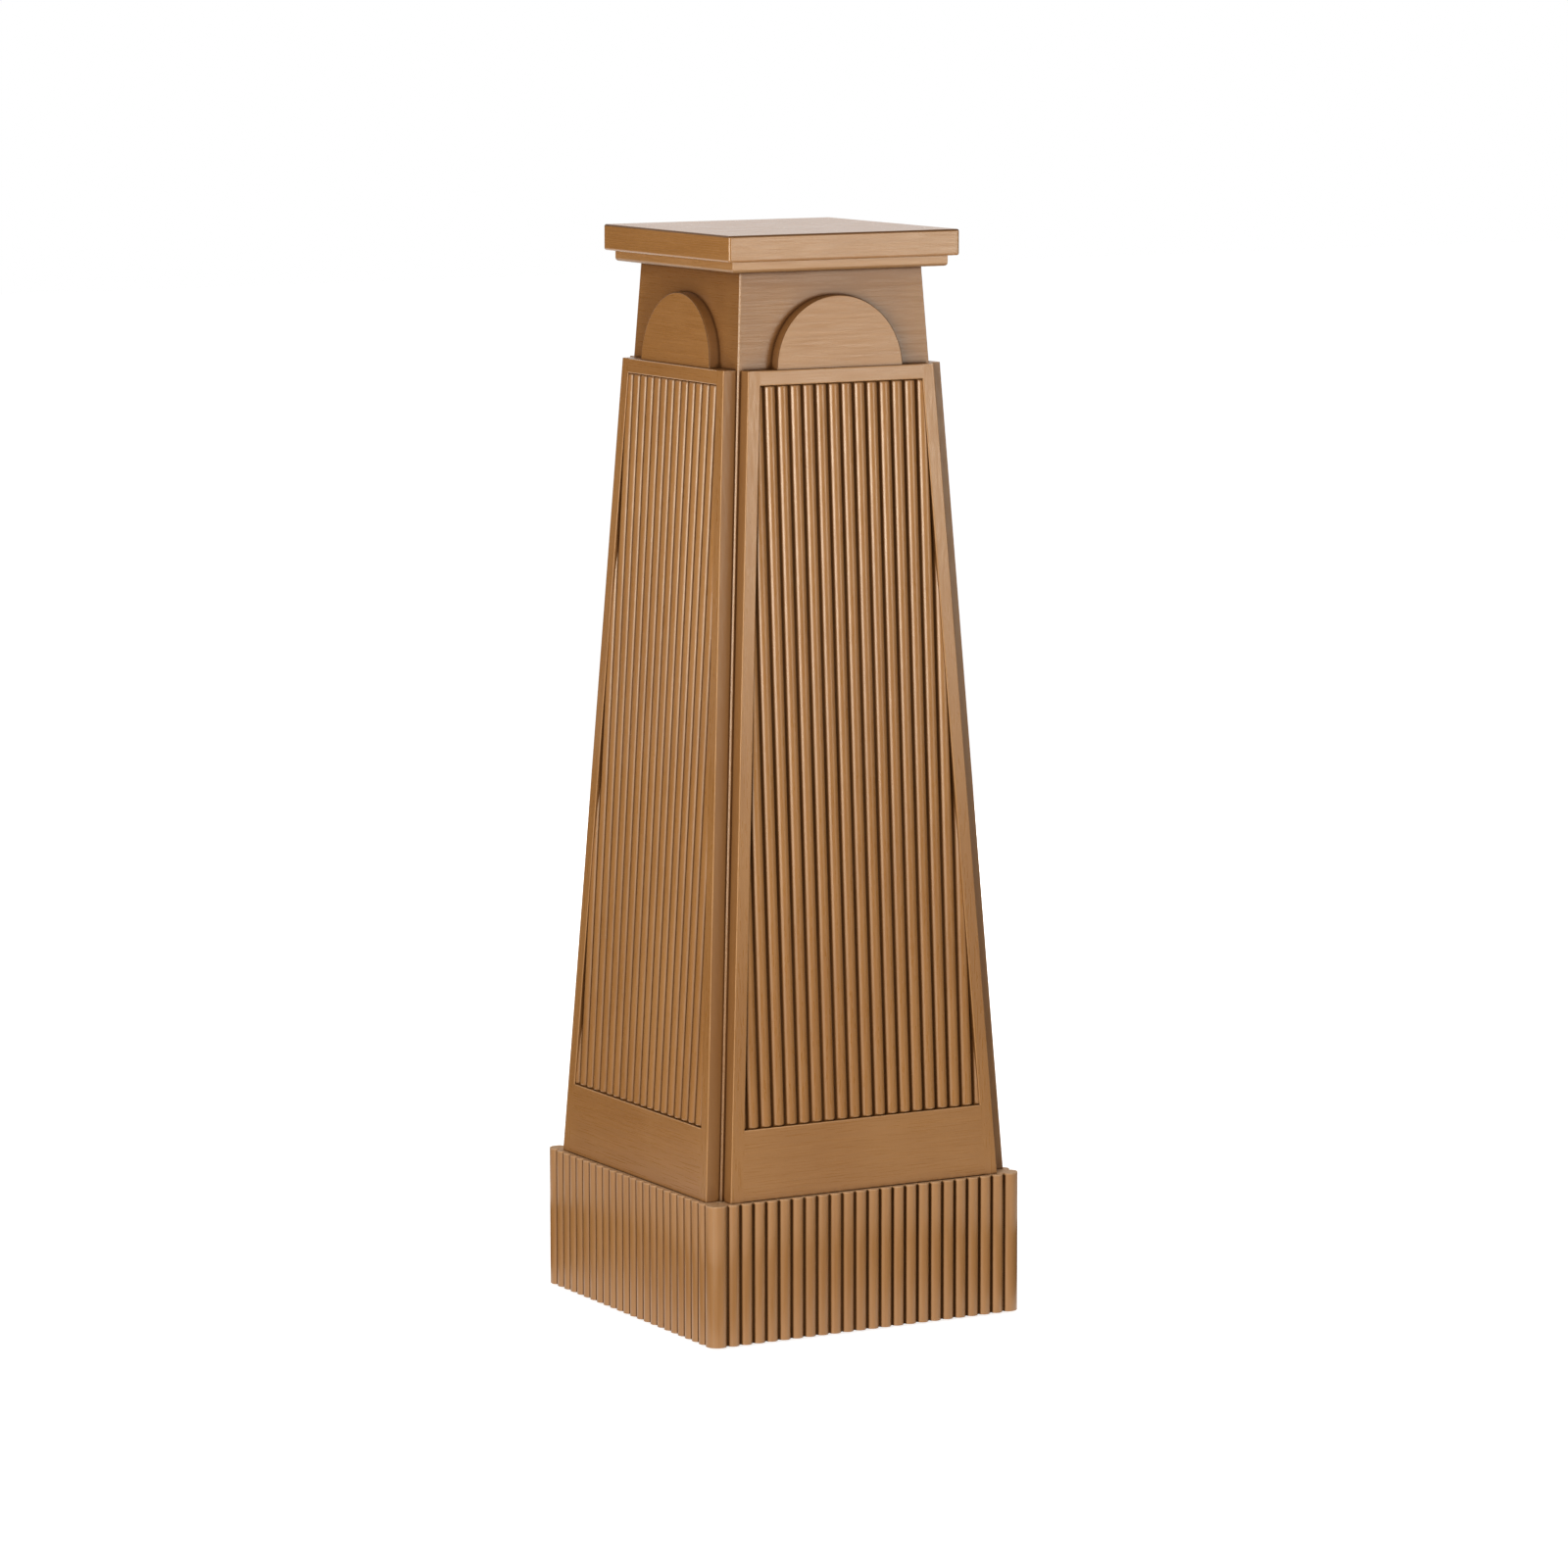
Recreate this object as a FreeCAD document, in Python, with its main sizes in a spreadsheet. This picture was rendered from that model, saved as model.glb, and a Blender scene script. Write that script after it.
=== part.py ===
"""Tapered pedestal column stand: a square wooden column on a reeded plinth.

Four mitred boards make the tapered shaft. A frame of two stiles and two rails with a reeded
panel is glued to each face, with a half-round arch plate standing on it. The plinth is a box
of four reeded boards, and a stepped top closes the shaft.

Millimetres. +Z is up, -Y is the front, and the origin is on the floor under the column's axis.
Each piece of a side is drawn at the front and turned about the axis to its own side.
"""
import FreeCAD, Part
import math
import os

import Sketcher

document = FreeCAD.newDocument("PedestalColumnStand")

# ---------------------------------------------------------------------------------------------
# Driving dimensions
# ---------------------------------------------------------------------------------------------

DIMENSIONS = {
    # whole stand
    "overall_height": 1067.0,
    "glue_line": 0.1,            # between glued faces, and each mitred end from its mitre plane
    "fitting_gap": 0.3,          # round a piece that drops into place
    # stepped top
    "top_width": 255.0,
    "top_thickness": 25.5,
    "top_edge_radius": 2.0,
    "cap_step": 8.5,             # how far the top board stands out over the cap plate
    "cap_thickness": 10.5,
    "cap_edge_radius": 3.0,
    "cap_overhang": 18.4,        # how far the cap plate stands out over the shaft
    # tapered shaft
    "shaft_board": 16.0,
    "shaft_plate": 18.0,         # inner plates at the head and foot
    "cleat_leg": 22.0,
    # applied frame
    "frame_thickness": 14.2,
    "frame_setback": 3.4,        # bare strip of shaft beside each frame
    "stile_width": 13.5,
    "top_rail_height": 14.0,
    "bottom_rail_height": 69.5,
    # arch plate
    "arch_radius": 69.5,
    "arch_headroom": 24.5,       # bare shaft between the arch's crown and the cap plate
    "arch_thickness": 11.5,
    # reeds of the panels and the plinth
    "reed_pitch": 14.1,
    "reed_radius": 8.5,
    "groove_width": 2.6,
    "groove_depth": 5.0,
    "panel_recess": 1.3,
    # plinth
    "plinth_width": 348.0,
    "plinth_height": 141.0,
    "plinth_board": 18.0,
    "plinth_corner_radius": 11.5,
    "plinth_ledge": 6.8,         # flat top of the plinth that shows in front of a frame
    "deck_thickness": 18.0,
    "base_thickness": 12.0,
    "corner_block": 32.0,
    # loose tenons of the top and the deck
    "tenon_width": 30.0,
    "tenon_thickness": 8.0,
    "tenon_clearance": 0.2,
    "top_tenon_length": 40.0,
    "top_tenon_offset": 52.0,
    "deck_tenon_length": 30.0,
    "deck_tenon_offset": 95.0,
    # floor glides
    "glide_projection": 2.5,
    "glide_radius": 10.0,
    "glide_margin": 1.0,         # from the glide's rim to the plinth's inside faces
    # screws of the base
    "screw_length": 30.0,
    "screw_radius": 2.0,
    "screw_head_radius": 4.0,
    "screw_head_height": 1.8,
    "screw_clearance": 0.2,
    "screw_edge": 6.0,           # from a corner block's inner faces to the screw's axis
}

sheet = document.addObject("Spreadsheet::Sheet", "Dimensions")
for row, (alias, size) in enumerate(DIMENSIONS.items(), start=1):
    sheet.set(f"A{row}", alias)
    sheet.set(f"B{row}", str(size))
    sheet.setAlias(f"B{row}", alias)
document.recompute()

SIDES = {"front": 0, "right": 90, "back": 180, "left": 270}
CORNERS = {"front_left": 0, "front_right": 90, "back_right": 180, "back_left": 270}
CUT_MARGIN = 10.0                # how far a cutting outline runs past the wood

nodes = []


def sized(formula):
    """Turn a formula in the sheet's names, written as {name}, into an expression."""
    return formula.format(**{alias: f"Dimensions.{alias}" for alias in DIMENSIONS})


def value(formula):
    """Read a formula in the sheet's names as a number."""
    return float(sheet.evalExpression(sized(formula)))


# Heights and widths that several pieces share, as formulas in the sheet's names.
CAP_TOP = "({overall_height} - {top_thickness})"
CAP_HALF = "({top_width} / 2 - {cap_step})"
SHAFT_TOP = f"({CAP_TOP} - {{cap_thickness}})"
SHAFT_TOP_HALF = f"({CAP_HALF} - {{cap_overhang}})"
SHAFT_FOOT_HALF = "({plinth_width} / 2 - {plinth_ledge} - {frame_thickness})"
TAPER = f"(({SHAFT_FOOT_HALF} - {SHAFT_TOP_HALF}) / ({SHAFT_TOP} - {{plinth_height}}))"
FRAME_TOP = f"({SHAFT_TOP} - {{arch_headroom}} - {{arch_radius}})"
PLINTH_HALF = "({plinth_width} / 2)"
PLINTH_INSIDE = "({plinth_width} / 2 - {plinth_board})"
REED_HALF = "({reed_pitch} / 2)"
PANEL_LOW = "({plinth_height} + {bottom_rail_height} + {glue_line})"
PANEL_HIGH = f"({FRAME_TOP} - {{top_rail_height}} - {{glue_line}})"
BLOCK_OUTER = f"({PLINTH_INSIDE} - {{fitting_gap}})"
BLOCK_INNER = f"({BLOCK_OUTER} - {{corner_block}})"
SCREW_AXIS = f"({BLOCK_INNER} + {{screw_edge}})"
GLIDE_AXIS = f"({PLINTH_INSIDE} - {{glide_margin}} - {{glide_radius}})"
TOP_TENON_LOW = f"(({SHAFT_TOP} + {CAP_TOP} - {{top_tenon_length}}) / 2)"
DECK_TENON_LOW = "({plinth_height} - {deck_tenon_length} / 2)"


def shaft_half(height):
    """Half the shaft's width at a height."""
    return f"({SHAFT_FOOT_HALF} - {TAPER} * (({height}) - {{plinth_height}}))"


def frame_half(height):
    """Half the frame's width at a height."""
    return f"({shaft_half(height)} - {{frame_setback}})"


def opening_half(height):
    """Half the width of the frame's opening at a height."""
    return f"({frame_half(height)} - {{stile_width}})"


# ---------------------------------------------------------------------------------------------
# Drawing helpers
# ---------------------------------------------------------------------------------------------

def new_body(name, angle=0, several=False):
    """Start a piece, turned about the column's axis; `several` allows separate solids."""
    body = document.addObject("PartDesign::Body", name)
    body.Label = name
    body.AllowCompound = several
    turn = FreeCAD.Rotation(FreeCAD.Vector(0, 0, 1), angle)
    body.Placement = FreeCAD.Placement(FreeCAD.Vector(0, 0, 0), turn)
    nodes.append(body)
    return body


def origin_feature(body, role):
    """Find one of a body's own origin planes or axes."""
    return next(feature for feature in body.Origin.OriginFeatures if feature.Role == role)


def new_sketch(body, plane, name, height=None):
    """Attach a sketch to an origin plane, raised to a height along the plane's normal."""
    sketch = body.newObject("Sketcher::SketchObject", f"{body.Name}_{name}")
    sketch.AttachmentSupport = [(origin_feature(body, plane), "")]
    sketch.MapMode = "FlatFace"
    if height is not None:
        sketch.setExpression("AttachmentOffset.Base.z", sized(height))
    return sketch


def pin(sketch, kind, edge, point, formula):
    """Hold one coordinate of a point to a formula."""
    held = Sketcher.Constraint(kind, -1, 1, edge, point, value(formula))
    index = sketch.addConstraint(held)
    sketch.setExpression(f"Constraints[{index}]", sized(formula))


def draw_outline(sketch, corners, arcs=None):
    """Draw a closed outline through corners given as pairs of formulas.

    The edge from a corner whose index is in `arcs` is an arc that runs counter-clockwise. Each
    entry gives its centre as a pair of formulas and the coordinate of the centre
    ("DistanceX" or "DistanceY") that, with the arc's ends, fixes it.
    """
    arcs = arcs or {}
    points = [FreeCAD.Vector(value(x), value(y), 0) for x, y in corners]
    first = sketch.GeometryCount
    count = len(points)
    for index, start in enumerate(points):
        stop = points[(index + 1) % count]
        if index not in arcs:
            sketch.addGeometry(Part.LineSegment(start, stop), False)
            continue
        (centre_x, centre_y), _ = arcs[index]
        centre = FreeCAD.Vector(value(centre_x), value(centre_y), 0)
        circle = Part.Circle(centre, FreeCAD.Vector(0, 0, 1), start.distanceToPoint(centre))
        start_angle = math.atan2(start.y - centre.y, start.x - centre.x)
        stop_angle = math.atan2(stop.y - centre.y, stop.x - centre.x)
        sketch.addGeometry(Part.ArcOfCircle(circle, start_angle, stop_angle), False)
    for index in range(count):
        following = (index + 1) % count
        sketch.addConstraint(
            Sketcher.Constraint("Coincident", first + index, 2, first + following, 1))
    for index, (x, y) in enumerate(corners):
        pin(sketch, "DistanceX", first + index, 1, x)
        pin(sketch, "DistanceY", first + index, 1, y)
    for index, ((centre_x, centre_y), held) in arcs.items():
        pin(sketch, held, first + index, 3, centre_x if held == "DistanceX" else centre_y)


def draw_rectangle(sketch, left, right, near, far):
    """Draw a rectangle between two X and two Y formulas."""
    draw_outline(sketch, [(left, near), (right, near), (right, far), (left, far)])


def draw_circle(sketch, x, y, radius):
    """Draw a circle whose centre and radius are formulas."""
    centre = FreeCAD.Vector(value(x), value(y), 0)
    edge = sketch.addGeometry(Part.Circle(centre, FreeCAD.Vector(0, 0, 1), value(radius)), False)
    pin(sketch, "DistanceX", edge, 3, x)
    pin(sketch, "DistanceY", edge, 3, y)
    index = sketch.addConstraint(Sketcher.Constraint("Radius", edge, value(radius)))
    sketch.setExpression(f"Constraints[{index}]", sized(radius))


def pad(body, sketch, length, symmetric=False):
    """Extrude a sketch by a length, to both sides of its plane if symmetric."""
    feature = body.newObject("PartDesign::Pad", f"{sketch.Name}_pad")
    feature.Profile = sketch
    feature.SideType = "Symmetric" if symmetric else "One side"
    feature.setExpression("Length", sized(length))
    document.recompute()
    return feature


def checked_cut(feature, before):
    """Recompute a cutting feature and make sure that it has taken wood away."""
    document.recompute()
    if not feature.Shape.Volume < before - 1e-3:
        raise ValueError(f"{feature.Name} cuts nothing")
    return feature


def pocket(body, sketch, depth=None, upwards=False):
    """Cut a sketch through everything both ways, or upwards through everything or to a depth."""
    before = body.Tip.Shape.Volume
    feature = body.newObject("PartDesign::Pocket", f"{sketch.Name}_cut")
    feature.Profile = sketch
    feature.SideType = "One side" if upwards else "Symmetric"
    feature.Reversed = upwards
    feature.Type = "ThroughAll"
    if depth is not None:
        feature.Type = "Length"
        feature.setExpression("Length", sized(depth))
    return checked_cut(feature, before)


def repeat_in_line(body, feature, spacing, count):
    """Repeat a feature along the body's X axis."""
    before = body.Tip.Shape.Volume
    pattern = body.newObject("PartDesign::LinearPattern", f"{feature.Name}_row")
    pattern.Originals = [feature]
    pattern.Direction = (origin_feature(body, "X_Axis"), [""])
    pattern.Mode = "Spacing"
    pattern.setExpression("Offset", sized(spacing))
    pattern.Occurrences = count
    body.Tip = pattern
    return checked_cut(pattern, before)


def repeat_round(body, feature, count=4):
    """Repeat a feature about the column's axis."""
    pattern = body.newObject("PartDesign::PolarPattern", f"{feature.Name}_ring")
    pattern.Originals = [feature]
    pattern.Axis = (origin_feature(body, "Z_Axis"), [""])
    pattern.Angle = 360
    pattern.Occurrences = count
    body.Tip = pattern
    document.recompute()
    return pattern


# ---------------------------------------------------------------------------------------------
# Pieces of the shaft, drawn at the front
# ---------------------------------------------------------------------------------------------

def leaning_slab(body, low, high, inner, outer):
    """Pad a slab that leans with the shaft's front face.

    `inner` and `outer` are its two faces' distances outside the shaft's face.
    """
    sketch = new_sketch(body, "YZ_Plane", "section")
    corners = [
        (f"-({shaft_half(low)} + {outer})", low),
        (f"-({shaft_half(high)} + {outer})", high),
        (f"-({shaft_half(high)} + {inner})", high),
        (f"-({shaft_half(low)} + {inner})", low),
    ]
    draw_outline(sketch, corners)
    pad(body, sketch, "{plinth_width}", symmetric=True)


def trim_sides(body, low, high, left, right):
    """Cut a slab back to two leaning side lines, each a function of height."""
    sketch = new_sketch(body, "XZ_Plane", "sides")
    below = f"({low} - {CUT_MARGIN})"
    above = f"({high} + {CUT_MARGIN})"
    beyond = f"({{plinth_width}} / 2 + {CUT_MARGIN})"
    draw_outline(sketch, [
        (f"-{beyond}", below),
        (left(below), below),
        (left(above), above),
        (f"-{beyond}", above),
    ])
    draw_outline(sketch, [
        (right(below), below),
        (beyond, below),
        (beyond, above),
        (right(above), above),
    ])
    return pocket(body, sketch)


def mitre(body, half):
    """Cut a piece's two ends to the mitre planes, half a glue line short of each."""
    sketch = new_sketch(body, "XY_Plane", "mitres")
    reach = f"({half} + {CUT_MARGIN})"
    for side in ("-", ""):
        draw_outline(sketch, [
            (f"{side}{reach}", f"-({reach} + {{glue_line}} / 2)"),
            (f"{side}{reach}", "0"),
            ("0", "-{glue_line} / 2"),
        ])
    return pocket(body, sketch)


def make_shaft_board(side, angle):
    """One mitred board of the tapered shaft."""
    body = new_body(f"shaft_board_{side}", angle)
    leaning_slab(body, "{plinth_height}", SHAFT_TOP, "-{shaft_board}", "0")
    mitre(body, PLINTH_HALF)


def make_stile(side, angle, hand):
    """One upright of a frame; hand is "left" or "right" as seen from outside."""
    body = new_body(f"stile_{hand}_{side}", angle)
    low, high = "{plinth_height}", FRAME_TOP
    leaning_slab(body, low, high, "{glue_line}", "{frame_thickness}")
    if hand == "left":
        trim_sides(body, low, high,
                   lambda height: f"-{frame_half(height)}",
                   lambda height: f"-{opening_half(height)}")
    else:
        trim_sides(body, low, high, opening_half, frame_half)


def make_rail(name, side, angle, low, high):
    """One crosspiece of a frame, between the stiles."""
    body = new_body(f"{name}_{side}", angle)
    leaning_slab(body, low, high, "{glue_line}", "{frame_thickness}")
    trim_sides(body, low, high,
               lambda height: f"-({opening_half(height)} - {{glue_line}})",
               lambda height: f"({opening_half(height)} - {{glue_line}})")


def make_arch(side, angle):
    """The half-round plate that stands on a frame's top edge."""
    body = new_body(f"arch_plate_{side}", angle)
    low = FRAME_TOP
    high = f"({FRAME_TOP} + {{arch_radius}} + {CUT_MARGIN})"
    leaning_slab(body, low, high, "{glue_line}", "{arch_thickness}")
    sketch = new_sketch(body, "XZ_Plane", "outline")
    beyond = f"({{plinth_width}} / 2 + {CUT_MARGIN})"
    below = f"({low} - {CUT_MARGIN})"
    above = f"({high} + {CUT_MARGIN})"
    draw_outline(sketch, [
        ("-{arch_radius}", low),
        ("-{arch_radius}", below),
        (f"-{beyond}", below),
        (f"-{beyond}", above),
        (beyond, above),
        (beyond, below),
        ("{arch_radius}", below),
        ("{arch_radius}", low),
    ], {7: (("0", low), "DistanceY")})
    pocket(body, sketch)


def cut_reeds(body, foot, face, each_way):
    """Cut a row of grooves upwards from a height, which leave rounded reeds between them.

    `face` is the front face's Y. One groove is on the centre line and `each_way` more are on
    each side of it. A groove's lips curve in from the face as the reeds' rounded shoulders, and
    its walls run straight down to its flat floor.
    """
    sketch = new_sketch(body, "XY_Plane", "groove", foot)
    first = f"(-{each_way} * {{reed_pitch}})"
    left_lip, right_lip = f"({first} - {REED_HALF})", f"({first} + {REED_HALF})"
    left_wall = f"({first} - {{groove_width}} / 2)"
    right_wall = f"({first} + {{groove_width}} / 2)"
    outside = f"({face} - {CUT_MARGIN})"
    shoulder_run = f"({REED_HALF} - {{groove_width}} / 2)"
    centre = f"({face} + {{reed_radius}})"
    shoulder = f"({centre} - sqrt({{reed_radius}} ^ 2 - {shoulder_run} ^ 2))"
    floor = f"({face} + {{groove_depth}})"
    draw_outline(sketch, [
        (left_lip, outside),
        (left_lip, face),
        (left_wall, shoulder),
        (left_wall, floor),
        (right_wall, floor),
        (right_wall, shoulder),
        (right_lip, face),
        (right_lip, outside),
    ], {
        1: ((left_lip, centre), "DistanceX"),
        5: ((right_lip, centre), "DistanceX"),
    })
    groove = pocket(body, sketch, upwards=True)
    repeat_in_line(body, groove, "{reed_pitch}", 2 * each_way + 1)


def make_reeded_panel(side, angle):
    """The reeded panel inside a frame, a little below the frame's face.

    It is drawn flat against the shaft's leaning face: its own Z runs up the slope from the foot
    of the opening, and its own -Y points out of the face.
    """
    body = new_body(f"reeded_panel_{side}", angle)
    lean = f"placement(vector(0; -{shaft_half(PANEL_LOW)}; {PANEL_LOW}); " \
           f"rotation(vector(1; 0; 0); -atan({TAPER})))"
    turn = f"placement(vector(0; 0; 0); rotation(vector(0; 0; 1); {angle}))"
    body.setExpression("Placement", sized(f"{turn} * {lean}"))
    outer = "({frame_thickness} - {panel_recess})"
    slope = f"sqrt(1 + {TAPER} * {TAPER})"
    length = f"(({PANEL_HIGH} - {PANEL_LOW}) * {slope})"
    section = new_sketch(body, "YZ_Plane", "section")
    draw_outline(section, [
        (f"-{outer}", f"-{outer} * {TAPER}"),
        (f"-{outer}", f"{length} - {outer} * {TAPER}"),
        ("-{glue_line}", f"{length} - {{glue_line}} * {TAPER}"),
        ("-{glue_line}", f"-{{glue_line}} * {TAPER}"),
    ])
    pad(body, section, "{plinth_width}", symmetric=True)
    widest = f"({opening_half(PANEL_LOW)} + {REED_HALF})"
    cut_reeds(body, f"-{CUT_MARGIN}", f"-{outer}", math.floor(value(f"{widest} / {{reed_pitch}}")))

    def panel_half(height):
        return f"({opening_half(f'({PANEL_LOW} + ({height}) / {slope})')} - {{fitting_gap}})"

    trim_sides(body, "0", length, lambda height: f"-{panel_half(height)}", panel_half)


def make_corner_cleat(corner, angle):
    """A three-sided glue block that runs up an inside corner of the shaft."""
    body = new_body(f"shaft_cleat_{corner}", angle)
    sections = []
    for end, height in (("foot", "({plinth_height} + {shaft_plate})"),
                        ("head", f"({SHAFT_TOP} - {{shaft_plate}})")):
        sketch = new_sketch(body, "XY_Plane", end, height)
        inside = f"({shaft_half(height)} - {{shaft_board}} - {{fitting_gap}})"
        draw_outline(sketch, [
            (f"-{inside}", f"-{inside}"),
            (f"-({inside} - {{cleat_leg}})", f"-{inside}"),
            (f"-{inside}", f"-({inside} - {{cleat_leg}})"),
        ])
        sections.append(sketch)
    loft = body.newObject("PartDesign::AdditiveLoft", f"{body.Name}_loft")
    loft.Profile = sections[0]
    loft.Sections = sections[1:]
    loft.Ruled = True
    document.recompute()


# ---------------------------------------------------------------------------------------------
# Pieces of the plinth
# ---------------------------------------------------------------------------------------------

def make_plinth_board(side, angle):
    """One mitred and reeded side of the plinth, with half of each rounded corner."""
    body = new_body(f"plinth_board_{side}", angle)
    sketch = new_sketch(body, "XY_Plane", "plan", "{glide_projection}")
    flat = "({plinth_width} / 2 - {plinth_corner_radius})"
    mitre_y = f"({flat} + {{plinth_corner_radius}} * sqrt(0.5))"
    mitre_x = f"({mitre_y} - {{glue_line}} / 2)"
    inner_x = f"({PLINTH_INSIDE} - {{glue_line}} / 2)"
    draw_outline(sketch, [
        (f"-{flat}", f"-{PLINTH_HALF}"),
        (flat, f"-{PLINTH_HALF}"),
        (mitre_x, f"-{mitre_y}"),
        (inner_x, f"-{PLINTH_INSIDE}"),
        (f"-{inner_x}", f"-{PLINTH_INSIDE}"),
        (f"-{mitre_x}", f"-{mitre_y}"),
    ], {
        1: ((flat, f"-{flat}"), "DistanceX"),
        5: ((f"-{flat}", f"-{flat}"), "DistanceX"),
    })
    pad(body, sketch, "{plinth_height} - {glide_projection}")
    cut_reeds(body, "{glide_projection}", f"-{PLINTH_HALF}",
              math.floor(value(f"({flat} - {REED_HALF}) / {{reed_pitch}}")))


def make_corner_block(corner, angle):
    """A glue block in a corner of the plinth, between its base and its deck."""
    body = new_body(f"plinth_block_{corner}", angle)
    low = "({glide_projection} + {base_thickness})"
    sketch = new_sketch(body, "XY_Plane", "plan", low)
    draw_rectangle(sketch, f"-{BLOCK_OUTER}", f"-{BLOCK_INNER}", f"-{BLOCK_OUTER}",
                   f"-{BLOCK_INNER}")
    pad(body, sketch, "{plinth_height} - {deck_thickness} - " + low)
    drill(body, f"-{SCREW_AXIS}")


# ---------------------------------------------------------------------------------------------
# Square plates, tenons, screws and glides
# ---------------------------------------------------------------------------------------------

def drill(body, axis):
    """Drill a base screw's hole up from the base's underside, at the same X and Y."""
    sketch = new_sketch(body, "XY_Plane", "screw_hole", "{glide_projection}")
    draw_circle(sketch, axis, axis, "({screw_radius} + {screw_clearance})")
    return pocket(body, sketch, "({screw_length} + {fitting_gap})", upwards=True)


def make_square_plate(name, half, low, thickness):
    """A square plate centred on the axis."""
    body = new_body(name)
    sketch = new_sketch(body, "XY_Plane", "plan", low)
    draw_rectangle(sketch, f"-{half}", half, f"-{half}", half)
    pad(body, sketch, thickness)
    return body


def round_edges(body, radius, sides):
    """Round a plate's long edges on the sides given: its "top", its "bottom" or both."""
    plate = body.Tip
    heights = {"top": plate.Shape.BoundBox.ZMax, "bottom": plate.Shape.BoundBox.ZMin}
    edges = [
        f"Edge{index}" for index, edge in enumerate(plate.Shape.Edges, start=1)
        if any(all(math.isclose(vertex.Z, heights[side]) for vertex in edge.Vertexes)
               for side in sides)
    ]
    feature = body.newObject("PartDesign::Fillet", f"{body.Name}_round")
    feature.Base = (plate, edges)
    feature.setExpression("Radius", sized(radius))
    document.recompute()


def draw_tenon(sketch, offset, clearance):
    """Draw a loose tenon's outline, or its mortise's, on the side that +X points to."""
    across = f"({{tenon_thickness}} / 2 + {clearance})"
    along = f"({{tenon_width}} / 2 + {clearance})"
    draw_rectangle(sketch, f"({offset} - {across})", f"({offset} + {across})", f"-{along}", along)


def cut_mortises(body, offset, low, length):
    """Cut the four mortises that a ring of tenons needs in a plate."""
    sketch = new_sketch(body, "XY_Plane", "mortise", f"({low} - {{fitting_gap}})")
    draw_tenon(sketch, offset, "{tenon_clearance}")
    mortise = pocket(body, sketch, f"({length} + 2 * {{fitting_gap}})", upwards=True)
    repeat_round(body, mortise)


def make_tenons(name, offset, low, length):
    """Four loose tenons round the axis."""
    body = new_body(name, several=True)
    sketch = new_sketch(body, "XY_Plane", "plan", low)
    draw_tenon(sketch, offset, "0")
    repeat_round(body, pad(body, sketch, length))


def make_stepped_top():
    """The top board, the cap plate under it and the shaft's inner plate that carries both."""
    top = make_square_plate("top_board", "({top_width} / 2)", CAP_TOP, "{top_thickness}")
    round_edges(top, "{top_edge_radius}", ("top", "bottom"))
    cap = make_square_plate("cap_plate", CAP_HALF, SHAFT_TOP, "{cap_thickness}")
    round_edges(cap, "{cap_edge_radius}", ("bottom",))
    head = make_square_plate(
        "shaft_head_plate", f"({shaft_half(SHAFT_TOP)} - {{shaft_board}} - {{fitting_gap}})",
        f"({SHAFT_TOP} - {{shaft_plate}})", "{shaft_plate}")
    for plate in (top, cap, head):
        cut_mortises(plate, "{top_tenon_offset}", TOP_TENON_LOW, "{top_tenon_length}")
    make_tenons("top_tenons", "{top_tenon_offset}", TOP_TENON_LOW, "{top_tenon_length}")


def make_shaft_foot():
    """The shaft's inner plate at its foot and the plinth's deck that it stands on."""
    high = "({plinth_height} + {shaft_plate})"
    foot = make_square_plate(
        "shaft_foot_plate", f"({shaft_half(high)} - {{shaft_board}} - {{fitting_gap}})",
        "{plinth_height}", "{shaft_plate}")
    deck = make_square_plate("plinth_deck", BLOCK_OUTER, "({plinth_height} - {deck_thickness})",
                             "{deck_thickness}")
    for plate in (foot, deck):
        cut_mortises(plate, "{deck_tenon_offset}", DECK_TENON_LOW, "{deck_tenon_length}")
    make_tenons("deck_tenons", "{deck_tenon_offset}", DECK_TENON_LOW, "{deck_tenon_length}")


def make_plinth_base():
    """The board that closes the plinth underneath, with holes for its screws."""
    base = make_square_plate("plinth_base", BLOCK_OUTER, "{glide_projection}",
                             "{base_thickness}")
    repeat_round(base, drill(base, SCREW_AXIS))


def turn_four(name, axis, profile):
    """Turn a profile about an upright axis at the same X and Y, four times round the column."""
    body = new_body(name, angle=45, several=True)
    sketch = new_sketch(body, "XZ_Plane", "profile")
    sketch.setExpression("AttachmentOffset.Base.x", sized(f"{axis} * sqrt(2)"))
    draw_outline(sketch, profile)
    turned = body.newObject("PartDesign::Revolution", f"{name}_turned")
    turned.Profile = sketch
    turned.ReferenceAxis = (sketch, ["V_Axis"])
    turned.Angle = 360
    document.recompute()
    repeat_round(body, turned)


def make_base_screws():
    """Four screws that hold the base up to the corner blocks, with their heads under it."""
    head = "({glide_projection} - {screw_head_height})"
    tip = "({glide_projection} + {screw_length})"
    turn_four("base_screws", SCREW_AXIS, [
        ("0", head),
        ("{screw_head_radius}", head),
        ("{screw_head_radius}", "{glide_projection}"),
        ("{screw_radius}", "{glide_projection}"),
        ("{screw_radius}", tip),
        ("0", tip),
    ])


def make_glides():
    """Four plastic discs under the base, on which the stand rests."""
    turn_four("glides", GLIDE_AXIS, [
        ("0", "0"),
        ("{glide_radius}", "0"),
        ("{glide_radius}", "{glide_projection}"),
        ("0", "{glide_projection}"),
    ])


# ---------------------------------------------------------------------------------------------
# The stand, from the top down
# ---------------------------------------------------------------------------------------------

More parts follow.
